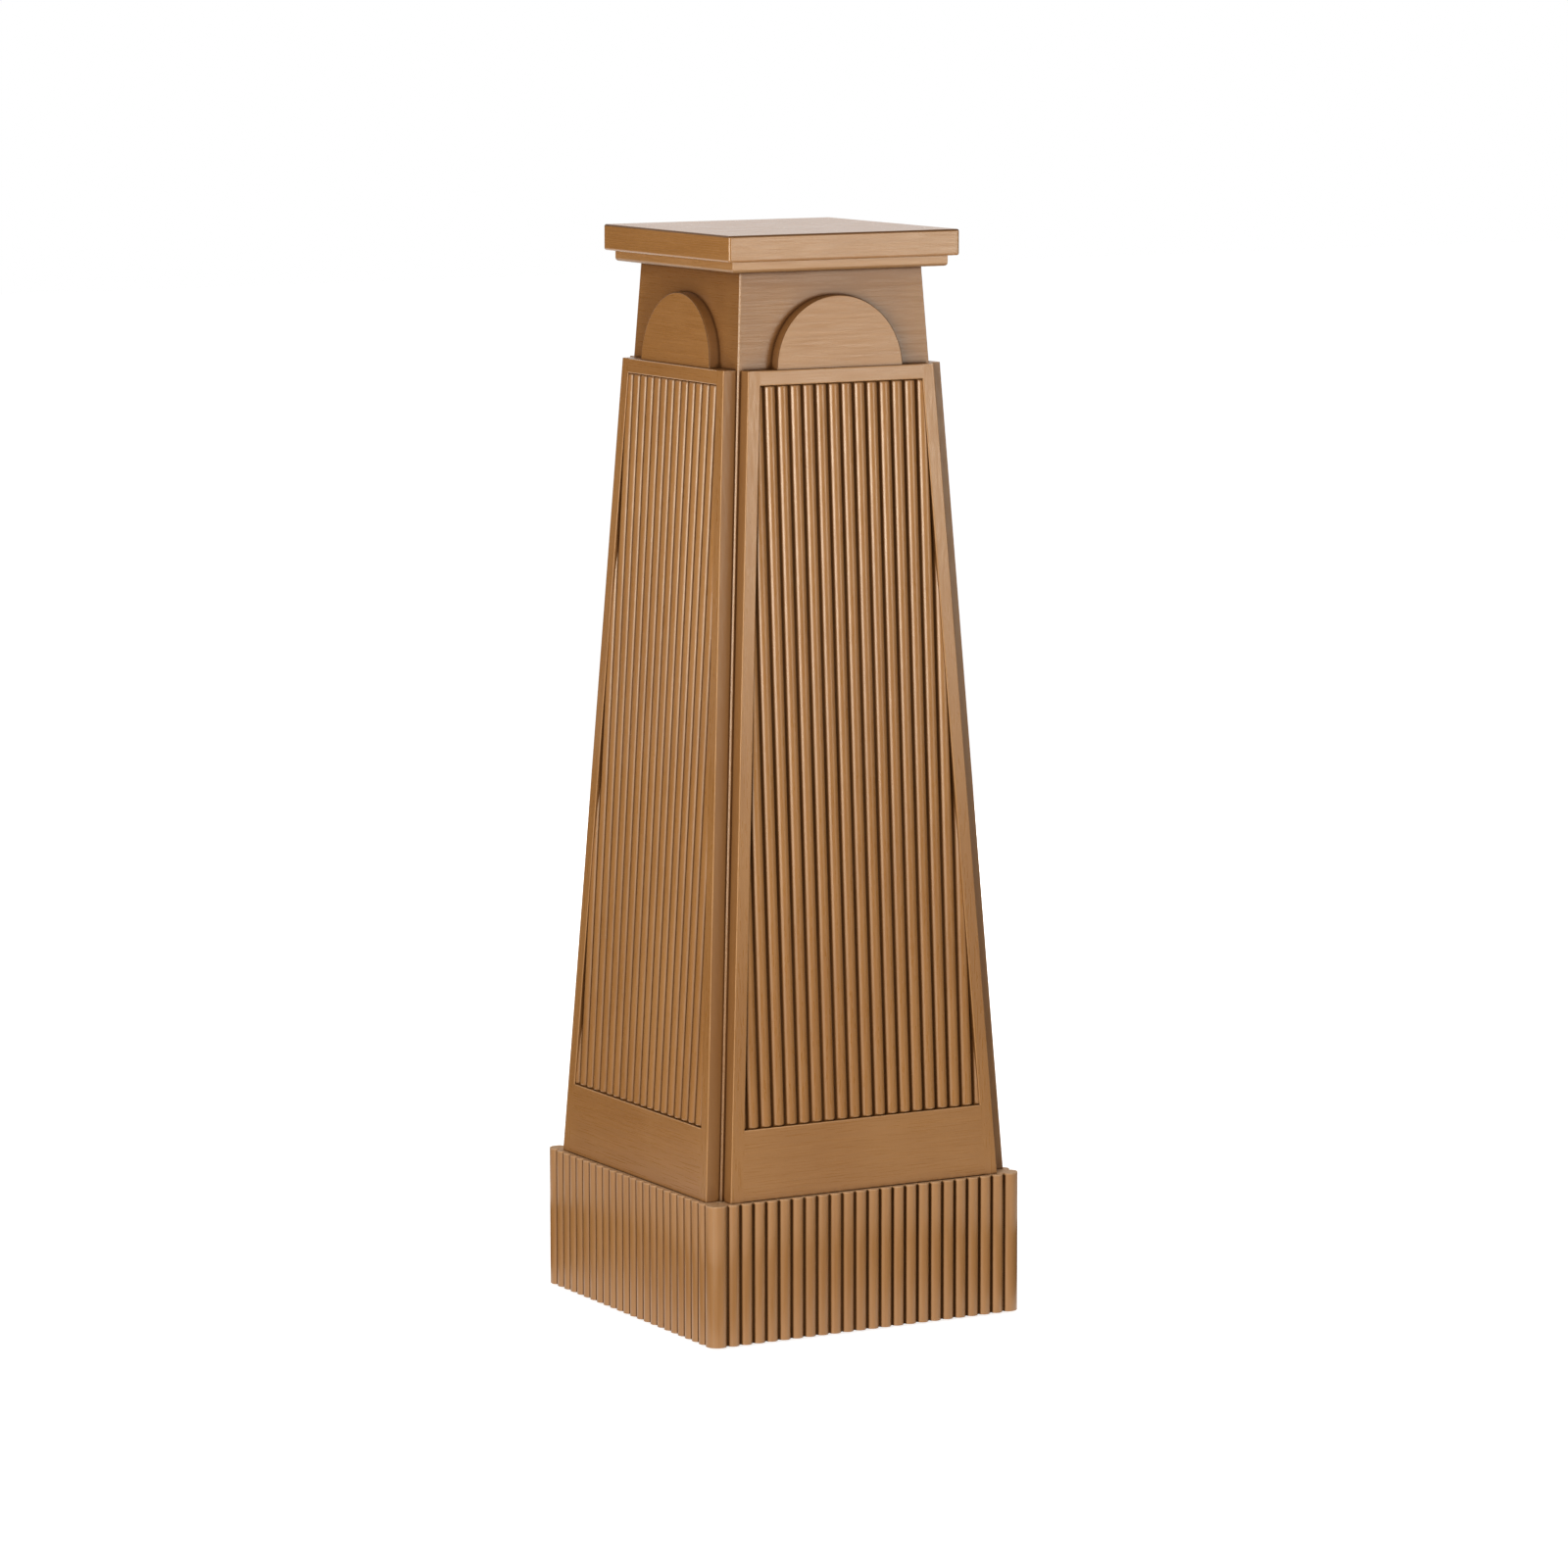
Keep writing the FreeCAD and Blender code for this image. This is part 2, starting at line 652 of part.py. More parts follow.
make_stepped_top()
for side, angle in SIDES.items():
    make_shaft_board(side, angle)
    make_arch(side, angle)
    make_stile(side, angle, "left")
    make_stile(side, angle, "right")
    make_rail("top_rail", side, angle, f"({FRAME_TOP} - {{top_rail_height}})", FRAME_TOP)
    make_rail("bottom_rail", side, angle, "{plinth_height}",
              "({plinth_height} + {bottom_rail_height})")
    make_reeded_panel(side, angle)
    make_plinth_board(side, angle)
for corner, angle in CORNERS.items():
    make_corner_cleat(corner, angle)
    make_corner_block(corner, angle)
make_shaft_foot()
make_plinth_base()
make_base_screws()
make_glides()

# ---------------------------------------------------------------------------------------------
# Checks, and one STEP file for each piece
# ---------------------------------------------------------------------------------------------

document.recompute()
for item in document.Objects:
    if "Invalid" in item.State or "Error" in item.State:
        raise RuntimeError(f"{item.Name} failed: {item.State}")
for node in nodes:
    if node.Shape.isNull() or not node.Shape.isValid():
        raise RuntimeError(f"{node.Label} has no valid shape")
    expected = 4 if node.AllowCompound else 1
    if len(node.Shape.Solids) != expected:
        raise RuntimeError(f"{node.Label} has {len(node.Shape.Solids)} solids")

os.makedirs("parts", exist_ok=True)
for node in nodes:
    node.Shape.exportStep(f"parts/{node.Label}.step")
print(f"{len(nodes)} pieces written")
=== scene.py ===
"""Looks of a square tapered column stand in satin lacquered wood.

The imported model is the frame. Each visible board is remade here with eased edges and its own
finish, and the pieces inside keep their solids. Metres; +Z is up and the front is -Y.
"""

import logging
import math
from dataclasses import dataclass
from enum import Enum
from typing import Callable, Optional, Sequence

import bmesh
import bpy
from mathutils import Matrix, Vector

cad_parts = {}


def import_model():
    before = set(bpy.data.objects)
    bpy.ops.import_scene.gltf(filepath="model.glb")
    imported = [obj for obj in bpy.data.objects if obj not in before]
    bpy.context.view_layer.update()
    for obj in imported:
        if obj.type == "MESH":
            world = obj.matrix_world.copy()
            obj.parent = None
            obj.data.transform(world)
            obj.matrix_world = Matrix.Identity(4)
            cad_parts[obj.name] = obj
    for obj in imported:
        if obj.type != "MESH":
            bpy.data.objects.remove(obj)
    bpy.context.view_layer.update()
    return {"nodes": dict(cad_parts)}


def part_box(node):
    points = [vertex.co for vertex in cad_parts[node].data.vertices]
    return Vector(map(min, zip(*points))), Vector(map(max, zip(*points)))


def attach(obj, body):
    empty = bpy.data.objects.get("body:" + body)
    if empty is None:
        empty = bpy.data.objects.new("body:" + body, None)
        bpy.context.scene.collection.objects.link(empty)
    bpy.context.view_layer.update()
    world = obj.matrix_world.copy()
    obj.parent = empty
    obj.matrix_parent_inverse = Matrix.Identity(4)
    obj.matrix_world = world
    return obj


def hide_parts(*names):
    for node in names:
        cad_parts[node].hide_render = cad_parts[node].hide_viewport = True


LOG = logging.getLogger("column_stand")

BODY = "root"
MM = 0.001
NEAR = 0.1 * MM
CUT_REACH = 0.001 * MM

Socket = bpy.types.NodeSocket
Finish = bpy.types.Material
Solid = bmesh.types.BMesh
Colour = tuple[float, float, float]
Spot = tuple[float, float]
Plan = list[tuple[float, float, float]]


class Side(Enum):
    """A side of the column and its turn about the axis from the front, in degrees."""

    FRONT = ("front", 0)
    RIGHT = ("right", 90)
    BACK = ("back", 180)
    LEFT = ("left", 270)

    @property
    def label(self) -> str:
        """The side's name as the nodes spell it."""
        return self.value[0]

    @property
    def turn(self) -> Matrix:
        """The turn that carries a piece drawn at the front to this side."""
        return Matrix.Rotation(math.radians(self.value[1]), 4, "Z")


class Hand(Enum):
    """Which stile of a frame, as seen from outside, and the sign of its X at the front."""

    LEFT = ("left", -1)
    RIGHT = ("right", 1)


class Grain(Enum):
    """The way that the wood's streaks run."""

    LEVEL = "level"
    UPRIGHT = "upright"


# ---- Sizes

@dataclass(frozen=True)
class StandSizes:
    """Sizes that several sub-assemblies share, worked out from the frame."""

    foot_half: float
    head_half: float
    foot_z: float
    head_z: float
    frame_top: float
    frame_thickness: float
    frame_setback: float
    stile_width: float
    shaft_board: float

    @classmethod
    def from_frame(cls, shaft_board: float = 16 * MM) -> "StandSizes":
        """Read the sizes from the frame's boxes.

        Args:
            shaft_board: Thickness of the shaft's boards.

        Returns:
            The shared sizes.
        """
        board_low, board_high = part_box("shaft_board_front")
        _, rail_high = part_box("top_rail_front")
        stile_low, stile_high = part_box("stile_left_front")
        foot_half = -board_low.y
        head_half = -board_high.y + shaft_board
        taper = (foot_half - head_half) / (board_high.z - board_low.z)
        half_at_frame_top = foot_half - taper * (rail_high.z - board_low.z)
        setback = foot_half + stile_low.x
        return cls(
            foot_half=foot_half,
            head_half=head_half,
            foot_z=board_low.z,
            head_z=board_high.z,
            frame_top=rail_high.z,
            frame_thickness=-stile_low.y - foot_half,
            frame_setback=setback,
            stile_width=half_at_frame_top - setback + stile_high.x,
            shaft_board=shaft_board,
        )

    @property
    def taper(self) -> float:
        """How much each face comes in for a unit of height."""
        return (self.foot_half - self.head_half) / (self.head_z - self.foot_z)

    def shaft_half(self, height: float) -> float:
        """Half the shaft's width at a height."""
        return self.foot_half - self.taper * (height - self.foot_z)

    def frame_half(self, height: float) -> float:
        """Half a frame's width at a height."""
        return self.shaft_half(height) - self.frame_setback

    def opening_half(self, height: float) -> float:
        """Half the width of a frame's opening at a height."""
        return self.frame_half(height) - self.stile_width


# ---- Finishes

def linear(code: str) -> tuple[float, float, float, float]:
    """Turn a colour written as six hexadecimal digits into linear light.

    Args:
        code: The colour, such as "A87A50".

    Returns:
        Red, green, blue and an alpha of one.
    """
    channels = [int(code[index:index + 2], 16) / 255 for index in (0, 2, 4)]
    light = [c / 12.92 if c <= 0.04045 else ((c + 0.055) / 1.055) ** 2.4 for c in channels]
    return (light[0], light[1], light[2], 1.0)


class NodeBoard:
    """A shader node tree, with short calls that add nodes and wire them."""

    def __init__(self, owner: Finish | bpy.types.World) -> None:
        """Start an empty tree on a material or a world.

        Args:
            owner: The material or the world.
        """
        owner.use_nodes = True
        self.owner = owner
        self.tree = owner.node_tree
        self.tree.nodes.clear()

    @classmethod
    def for_material(cls, name: str) -> "NodeBoard":
        """Start a new material of that name."""
        return cls(bpy.data.materials.new(name))

    def node(self, kind: str, **settings: object) -> bpy.types.Node:
        """Add a node and set its properties.

        Args:
            kind: The node's type.
            **settings: Its properties.

        Returns:
            The node.
        """
        node = self.tree.nodes.new(kind)
        for key, value in settings.items():
            setattr(node, key, value)
        return node

    def feed(self, socket: Socket, source: object) -> None:
        """Give a socket a link or a plain value.

        Args:
            socket: The input.
            source: An output to link, or a value; None leaves it alone.
        """
        if isinstance(source, Socket):
            self.tree.links.new(source, socket)
        elif source is not None:
            socket.default_value = source

    def maths(self, operation: str, first: object, second: object = None,
              third: object = None) -> Socket:
        """Work out a number from one, two or three others.

        Args:
            operation: What is worked out, such as "ADD".
            first: The first number.
            second: The second, where there is one.
            third: The third, where there is one.

        Returns:
            The result.
        """
        node = self.node("ShaderNodeMath", operation=operation)
        for socket, source in zip(node.inputs, (first, second, third)):
            self.feed(socket, source)
        return node.outputs[0]

    def span(self, source: object, low: float, high: float, to_low: float = 0.0,
             to_high: float = 1.0, smooth: bool = True) -> Socket:
        """Map a number from one span to another and hold it inside.

        Args:
            source: The number.
            low: Start of its span.
            high: End of its span.
            to_low: What the start becomes.
            to_high: What the end becomes.
            smooth: Whether it eases in and out.

        Returns:
            The mapped number.
        """
        node = self.node("ShaderNodeMapRange", clamp=True,
                         interpolation_type="SMOOTHSTEP" if smooth else "LINEAR")
        for key, value in zip(("Value", "From Min", "From Max", "To Min", "To Max"),
                              (source, low, high, to_low, to_high)):
            self.feed(node.inputs[key], value)
        return node.outputs["Result"]

    def blend(self, amount: object, under: object, over: object) -> Socket:
        """Lay one colour over another by an amount.

        Args:
            amount: How much of the upper colour shows.
            under: The lower colour.
            over: The upper colour.

        Returns:
            The blended colour.
        """
        node = self.node("ShaderNodeMix", data_type="RGBA", clamp_factor=True)
        self.feed(node.inputs["Factor"], amount)
        self.feed(node.inputs[6], under)
        self.feed(node.inputs[7], over)
        return node.outputs[2]

    def stretched(self, vector: Socket, scale: Sequence[float],
                  shift: Sequence[float] = (0.0, 0.0, 0.0)) -> Socket:
        """Scale and shift a vector.

        Args:
            vector: The vector.
            scale: Its factors along X, Y and Z.
            shift: What is added after.

        Returns:
            The new vector.
        """
        node = self.node("ShaderNodeMapping")
        self.feed(node.inputs["Vector"], vector)
        node.inputs["Scale"].default_value = scale
        node.inputs["Location"].default_value = shift
        return node.outputs["Vector"]

    def noise(self, vector: Socket, scale: float, detail: float = 3.0,
              roughness: float = 0.55, distortion: float = 0.0) -> Socket:
        """Smooth noise over a vector.

        Args:
            vector: Where it is sampled.
            scale: Its cells in a unit.
            detail: How many finer layers it has.
            roughness: How strong the finer layers are.
            distortion: How far it is bent.

        Returns:
            The noise, from zero to one.
        """
        node = self.node("ShaderNodeTexNoise")
        self.feed(node.inputs["Vector"], vector)
        for key, value in (("Scale", scale), ("Detail", detail), ("Roughness", roughness),
                           ("Distortion", distortion)):
            node.inputs[key].default_value = value
        return node.outputs["Fac"]

    def attribute(self, name: str) -> Socket:
        """Read a number stored on the mesh."""
        return self.node("ShaderNodeAttribute", attribute_name=name).outputs["Fac"]

    def object_place(self) -> Socket:
        """The shaded point in the object's own coordinates."""
        return self.node("ShaderNodeTexCoord").outputs["Object"]

    def height_of(self, vector: Socket) -> Socket:
        """A vector's Z.

        Args:
            vector: The vector.

        Returns:
            Its Z.
        """
        split = self.node("ShaderNodeSeparateXYZ")
        self.feed(split.inputs[0], vector)
        return split.outputs["Z"]

    def openness(self, reach: float) -> Socket:
        """How open the surroundings are within a reach, from zero to one.

        Args:
            reach: How far the surroundings count.

        Returns:
            Zero where it is closed in, one in the open.
        """
        shelter = self.node("ShaderNodeAmbientOcclusion", samples=8)
        shelter.inputs["Distance"].default_value = reach
        return shelter.outputs["AO"]

    def seen_directly(self) -> Socket:
        """One where a camera, glossy or transmitted ray meets the surface, else zero.

        Returns:
            One or zero.
        """
        path = self.node("ShaderNodeLightPath")
        seen = self.maths("MAXIMUM", path.outputs["Is Camera Ray"], path.outputs["Is Glossy Ray"])
        return self.maths("MAXIMUM", seen, path.outputs["Is Transmission Ray"])

    def matt(self, grey: float) -> Socket:
        """A plain matt grey.

        Args:
            grey: How light it is, from zero to one.

        Returns:
            The shader.
        """
        paint = self.node("ShaderNodeBsdfDiffuse")
        paint.inputs["Color"].default_value = (grey, grey, grey, 1.0)
        return paint.outputs[0]

    def surface(self, colour: object, roughness: object, relief: Socket,
                strength: float, depth: float = 0.3 * MM) -> bpy.types.Node:
        """Add a surface shader with a fine relief.

        Args:
            colour: Its base colour.
            roughness: Its roughness.
            relief: The relief's height pattern.
            strength: How strongly the relief shows.
            depth: How deep it is.

        Returns:
            The shader's node.
        """
        shader = self.node("ShaderNodeBsdfPrincipled")
        self.feed(shader.inputs["Base Color"], colour)
        self.feed(shader.inputs["Roughness"], roughness)
        bump = self.node("ShaderNodeBump")
        bump.inputs["Strength"].default_value = strength
        bump.inputs["Distance"].default_value = depth
        self.feed(bump.inputs["Height"], relief)
        self.feed(shader.inputs["Normal"], bump.outputs["Normal"])
        return shader

    def close(self, shader: Socket, output: str = "ShaderNodeOutputMaterial") -> Finish:
        """Wire the last shader to the output and hand the tree's owner over."""
        self.tree.links.new(shader, self.node(output).inputs["Surface"])
        return self.owner


# How many cells of noise lie in a metre along X, Y and Z, few along the grain.
UPRIGHT_GRAIN = (260.0, 260.0, 6.0)
LEVEL_GRAIN = (9.0, 9.0, 330.0)
TOP_GRAIN = (9.0, 260.0, 330.0)
BROAD_PATCHES = (7.0, 7.0, 4.0)


@dataclass(frozen=True)
class LacqueredWood:
    """Satin lacquer over stained wood, with a dark glaze in the corners and grooves that is partly
    real glaze and partly painted shade.

    It reads three numbers stored on a mesh: "groove" for depth in a groove, a number for worn
    edges that are also a painted highlight, and "line" for glaze and painted shade along an edge.
    """

    name: str
    grain: Grain
    tone: str = "9D6B38"
    pale: str = "AF7E4A"
    deep: str = "865823"
    # The pale colour of worn edges, which also stands for a painted highlight.
    rubbed: str = "C29668"
    # The glaze colour also stands for painted shade in corners, in grooves, along edges and on
    # side walls.
    glaze: str = "341B08"
    haze: str = "6A4322"
    # The brown haze near other parts is partly wiped haze and partly painted shade.
    streaks: float = 0.25
    glaze_and_shade_amount: float = 0.92
    # Glaze along an edge, which is partly painted shade.
    line_glaze: float = 0.75
    corner_reach: float = 7 * MM
    haze_and_shade_reach: float = 22 * MM
    haze_and_shade_amount: float = 0.70
    # The wood is darker above a height, by this amount.
    darkening_above: float = 0.0
    darkening_from: float = 0.937
    level_from: float = 0.7
    groove_start: float = 0.70
    rub: float = 0.55
    wear_and_highlight_dulls: float = 0.5
    roughness: float = 0.30
    gloss: float = 1.0
    gloss_tint: str = "FFFAEE"
    grain_bump: float = 0.05

    def build(self) -> Finish:
        """Make the material.

        Returns:
            The finished material.
        """
        board = NodeBoard.for_material(self.name)
        spot = board.object_place()
        along = self._grain_vector(board, spot)
        broad = board.noise(board.stretched(spot, BROAD_PATCHES), 1.0, 3.0, 0.5)
        bands = board.noise(along, 1.0, 4.0, 0.6, 0.35)
        hairs = board.noise(board.stretched(along, (2.4, 2.4, 4.2), (3.1, 0.7, 5.3)), 1.0, 2.0)
        pores = board.noise(board.stretched(along, (6.0, 6.0, 9.0), (0.2, 8.1, 2.6)), 1.0, 1.0)
        # Pale edges are wear and painted highlight; they also dull the gloss.
        rubbed = board.attribute("rub")
        wear_and_highlight_amount = board.maths("MULTIPLY", rubbed,
                           board.span(bands, 0.30, 0.62, 0.6 * self.rub, self.rub))
        line = board.maths("MULTIPLY", board.attribute("line"), self.line_glaze)
        glaze_and_shade_mask = board.maths("MAXIMUM", self._glaze_mask(board, broad), line)

        streaked = board.blend(board.span(bands, 0.30, 0.72), linear(self.deep), linear(self.pale))
        colour = board.blend(self.streaks, linear(self.tone), streaked)
        # Coats in turn: random pale patches, grain hairs and pores, brown haze that is partly
        # painted shade, pale wear that is partly a painted highlight, and glaze that is partly
        # painted shade.
        coats = (
            (board.span(broad, 0.35, 0.68, 0.0, 0.42), self.pale),
            (board.span(hairs, 0.52, 0.74, 0.0, 0.30 * self.streaks), self.deep),
            (board.span(pores, 0.66, 0.80, 0.0, 0.12 * self.streaks), self.glaze),
            (self._haze_mask(board, spot, broad), self.haze),
            (wear_and_highlight_amount, self.rubbed),
            (glaze_and_shade_mask, self.glaze),
        )
        for amount, coat in coats:
            colour = board.blend(amount, colour, linear(coat))

        satin = board.span(hairs, 0.3, 0.7, self.roughness - 0.04, self.roughness + 0.06)
        relief = board.maths("ADD", bands, board.maths("MULTIPLY", hairs, 0.6))
        surface = board.surface(colour, board.maths("MULTIPLY_ADD", glaze_and_shade_mask, 0.25, satin),
                                relief, self.grain_bump)
        dull = board.maths("MAXIMUM", glaze_and_shade_mask, board.maths("MULTIPLY", rubbed, self.wear_and_highlight_dulls))
        board.feed(surface.inputs["Specular IOR Level"],
                   board.span(dull, 0.0, 0.9, self.gloss, 0.1 * self.gloss, smooth=False))
        surface.inputs["Specular Tint"].default_value = linear(self.gloss_tint)
        return board.close(surface.outputs["BSDF"])

    def _grain_vector(self, board: NodeBoard, spot: Socket) -> Socket:
        """Stretch the place so that noise over it makes streaks that run with the grain.

        Args:
            board: The tree.
            spot: The shaded point.

        Returns:
            The stretched place.
        """
        if self.grain is Grain.UPRIGHT:
            return board.stretched(spot, UPRIGHT_GRAIN)
        normal = board.node("ShaderNodeTexCoord").outputs["Normal"]
        steepness = board.maths("ABSOLUTE", board.height_of(normal))
        facing_up = board.maths("GREATER_THAN", steepness, self.level_from)
        choose = board.node("ShaderNodeMix", data_type="VECTOR")
        board.feed(choose.inputs["Factor"], facing_up)
        board.feed(choose.inputs[4], board.stretched(spot, LEVEL_GRAIN))
        board.feed(choose.inputs[5], board.stretched(spot, TOP_GRAIN))
        return choose.outputs[1]

    @staticmethod
    def _uneven(board: NodeBoard, mask: Socket, broad: Socket,
                first: float, last: float) -> Socket:
        """Vary a mask's strength from patch to patch."""
        return board.maths("MULTIPLY", mask, board.span(broad, 0.3, 0.7, first, last))

    def _haze_mask(self, board: NodeBoard, spot: Socket, broad: Socket) -> Socket:
        """Where a thin brown haze darkens the wood near other parts, partly wiped haze and partly
        painted shade, or darkens it above a height.

        Args:
            board: The tree.
            spot: The shaded point.
            broad: Noise in broad patches.

        Returns:
            The haze's strength.
        """
        near = board.span(board.openness(self.haze_and_shade_reach), 0.97, 0.66)
        wiped_and_shaded = self._uneven(board, near, broad, self.haze_and_shade_amount * 0.7, self.haze_and_shade_amount)
        if not self.darkening_above:
            return wiped_and_shaded
        above = board.span(board.height_of(spot), self.darkening_from - 4 * MM, self.darkening_from)
        left = self._uneven(board, above, broad, self.darkening_above, self.darkening_above * 0.4)
        return board.maths("MAXIMUM", wiped_and_shaded, left)

    def _glaze_mask(self, board: NodeBoard, broad: Socket) -> Socket:
        """Where the glaze and painted shade go: tight inside corners and the depth of the grooves.

        Args:
            board: The tree.
            broad: Noise in broad patches.

        Returns:
            The strength of the glaze and painted shade.
        """
        corners = board.span(board.openness(self.corner_reach), 0.80, 0.52)
        depth = board.span(board.attribute("groove"), self.groove_start, 0.98)
        return self._uneven(board, board.maths("MAXIMUM", corners, depth), broad,
                            self.glaze_and_shade_amount * 0.8, self.glaze_and_shade_amount)


@dataclass(frozen=True)
class BareWood:
    """Planed softwood or plywood with no finish, for the pieces inside."""

    name: str
    tone: str
    line: str
    roughness: float = 0.68

    def build(self) -> Finish:
        """Make the material.

        Returns:
            The finished material.
        """
        board = NodeBoard.for_material(self.name)
        spot = board.object_place()
        rings = board.noise(board.stretched(spot, (14.0, 90.0, 60.0)), 1.0, 3.0, 0.5, 0.8)
        fibre = board.noise(board.stretched(spot, (60.0, 600.0, 420.0)), 1.0, 2.0)
        colour = board.blend(board.span(rings, 0.42, 0.62, 0.0, 0.65), linear(self.tone),
                             linear(self.line))
        colour = board.blend(board.span(fibre, 0.5, 0.7, 0.0, 0.25), colour, linear(self.line))
        rough = board.span(fibre, 0.3, 0.7, self.roughness - 0.08, self.roughness + 0.08)
        surface = board.surface(colour, rough, fibre, 0.2)
        return board.close(surface.outputs["BSDF"])


@dataclass(frozen=True)
class MouldedPlastic:
    """Hard dark plastic with a fine moulded texture."""

    name: str
    tone: str
    scuff: str

    def build(self) -> Finish:
        """Make the material.

        Returns:
            The finished material.
        """
        board = NodeBoard.for_material(self.name)
        spot = board.object_place()
        stipple = board.noise(spot, 2600.0, 2.0, 0.6)
        wear = board.noise(board.stretched(spot, (300.0, 90.0, 90.0)), 1.0, 4.0, 0.65)
        colour = board.blend(board.span(wear, 0.52, 0.75, 0.0, 0.5), linear(self.tone),
                             linear(self.scuff))
        surface = board.surface(colour, board.span(wear, 0.3, 0.7, 0.42, 0.62), stipple,
                                0.25, 0.1 * MM)
        return board.close(surface.outputs["BSDF"])


@dataclass(frozen=True)
class PlatedSteel:
    """Zinc-plated steel with faint turning marks."""

    name: str
    tone: str
    dull: str

    def build(self) -> Finish:
        """Make the material.

        Returns:
            The finished material.
        """
        board = NodeBoard.for_material(self.name)
        spot = board.object_place()
        marks = board.noise(board.stretched(spot, (400.0, 400.0, 2600.0)), 1.0, 2.0)
        haze = board.noise(spot, 240.0, 3.0, 0.6)
        colour = board.blend(board.span(haze, 0.4, 0.7, 0.0, 0.6), linear(self.tone),
                             linear(self.dull))
        surface = board.surface(colour, board.span(haze, 0.3, 0.7, 0.24, 0.42), marks,
                                0.15, 0.05 * MM)
        surface.inputs["Metallic"].default_value = 1.0
        return board.close(surface.outputs["BSDF"])


class Finishes:
    """Every finish of the stand, made once."""

    def __init__(self) -> None:
        """Make the materials."""
        self.top = LacqueredWood("top_lacquer", Grain.LEVEL, haze_and_shade_amount=0.15,
                                 corner_reach=3 * MM, roughness=0.25, gloss=0.85,
                                 grain_bump=0.04).build()
        # This paler copy of the lacquer, with no haze, is a painted sheen: it stands in for light
        # that the top board's overhang keeps off the cap's front.
        self.cap = LacqueredWood("cap_lacquer_painted_sheen", Grain.LEVEL, tone="A97844", pale="BA8C5B",
                                 haze_and_shade_amount=0.0, corner_reach=1.5 * MM).build()
        self.shaft = LacqueredWood("shaft_lacquer", Grain.LEVEL, haze_and_shade_reach=34 * MM,
                                   haze_and_shade_amount=0.85, darkening_above=0.58, rub=0.9,
                                   gloss=0.72).build()
        self.arch = LacqueredWood("arch_lacquer", Grain.LEVEL, gloss=0.85).build()
        self.rail = LacqueredWood("rail_lacquer", Grain.LEVEL, haze_and_shade_amount=0.3, rub=0.8,
                                  streaks=0.18, corner_reach=5 * MM).build()
        self.stile = LacqueredWood("stile_lacquer", Grain.UPRIGHT, haze_and_shade_amount=0.3,
                                   streaks=0.18, corner_reach=5 * MM,
                                   gloss=0.9).build()
        self.reeds = LacqueredWood("reed_lacquer", Grain.UPRIGHT, haze_and_shade_amount=0.1,
                                   glaze="47290F", corner_reach=4 * MM,
                                   groove_start=0.56, grain_bump=0.015,
                                   gloss=0.85).build()
        # The plinth's pale top, lip and mitre line are a painted highlight.
        self.plinth = LacqueredWood("plinth_lacquer", Grain.UPRIGHT, haze_and_shade_amount=0.0,
                                    rubbed="C6A37F", corner_reach=2.4 * MM, rub=0.8,
                                    tone="A3713D", roughness=0.36,
                                    grain_bump=0.015).build()
        self.bare = BareWood("bare_wood", tone="CDB08A", line="A9824F").build()
        self.plastic = MouldedPlastic("glide_plastic", tone="2C221A", scuff="4A3E33").build()
        self.steel = PlatedSteel("plated_steel", tone="C9C7C0", dull="8F8D86").build()


# ---- Joinery: making meshes and handing them over

def mark_layer(mesh: Solid, name: str) -> bmesh.types.BMLayerItem:
    """A number stored on a mesh's vertices under a name, made if it isn't there."""
    layers = mesh.verts.layers.float
    return layers.get(name) or layers.new(name)


def add_block(mesh: Solid, rings: Sequence[Sequence[Vector]],
              marks: Optional[dict[str, Sequence[float]]] = None) -> None:
    """Add a closed block through rings of points, with walls and one face at each end.

    Args:
        mesh: The mesh that it is added to.
        rings: Rings with the same number of points, from one end to the other.
        marks: Attributes to store, each with a value for every point of a ring.
    """
    layers = {name: mark_layer(mesh, name) for name in marks or {}}
    loops = [[mesh.verts.new(point) for point in ring] for ring in rings]
    for name, layer in layers.items():
        for loop in loops:
            for vertex, value in zip(loop, marks[name]):
                vertex[layer] = value
    count = len(loops[0])
    for lower, upper in zip(loops, loops[1:]):
        for index in range(count):
            following = (index + 1) % count
            mesh.faces.new((lower[index], lower[following], upper[following], upper[index]))
    mesh.faces.new(list(reversed(loops[0])))
    mesh.faces.new(loops[-1])


def loft(rings: Sequence[Sequence[Vector]],
         marks: Optional[dict[str, Sequence[float]]] = None) -> Solid:
    """Make a new closed solid through rings of points, which may carry marks.

    Args:
        rings: Rings with the same number of points, from one end to the other.
        marks: Attributes to store, each with a value for every point of a ring.

    Returns:
        The solid.
    """
    mesh = bmesh.new()
    add_block(mesh, rings, marks)
    bmesh.ops.recalc_face_normals(mesh, faces=mesh.faces)
    return mesh


def ease(mesh: Solid, chosen: Callable[[bmesh.types.BMEdge], bool],
         radius: float, segments: int = 4, mark: Optional[str] = None,
         level: float = 1.0) -> None:
    """Round a solid's edges and mark the rounded strips.

    Args:
        mesh: The solid.
        chosen: Tells whether an edge is rounded.
        radius: The rounding's reach from the edge.
        segments: Faces across the rounding.
        mark: The attribute set on the strips, such as "line" for glaze and painted shade, or None.
        level: How strongly it is set.
    """
    edges = [edge for edge in mesh.edges if chosen(edge)]
    made = bmesh.ops.bevel(mesh, geom=edges, offset=radius, offset_type="OFFSET",
                           segments=segments, profile=0.5, affect="EDGES", clamp_overlap=True)
    strip = set(made["faces"])
    if mark is None:
        return
    layer = mark_layer(mesh, mark)
    for vertex in {vertex for face in made["faces"] for vertex in face.verts}:
        if all(face in strip for face in vertex.link_faces):
            vertex[layer] = level


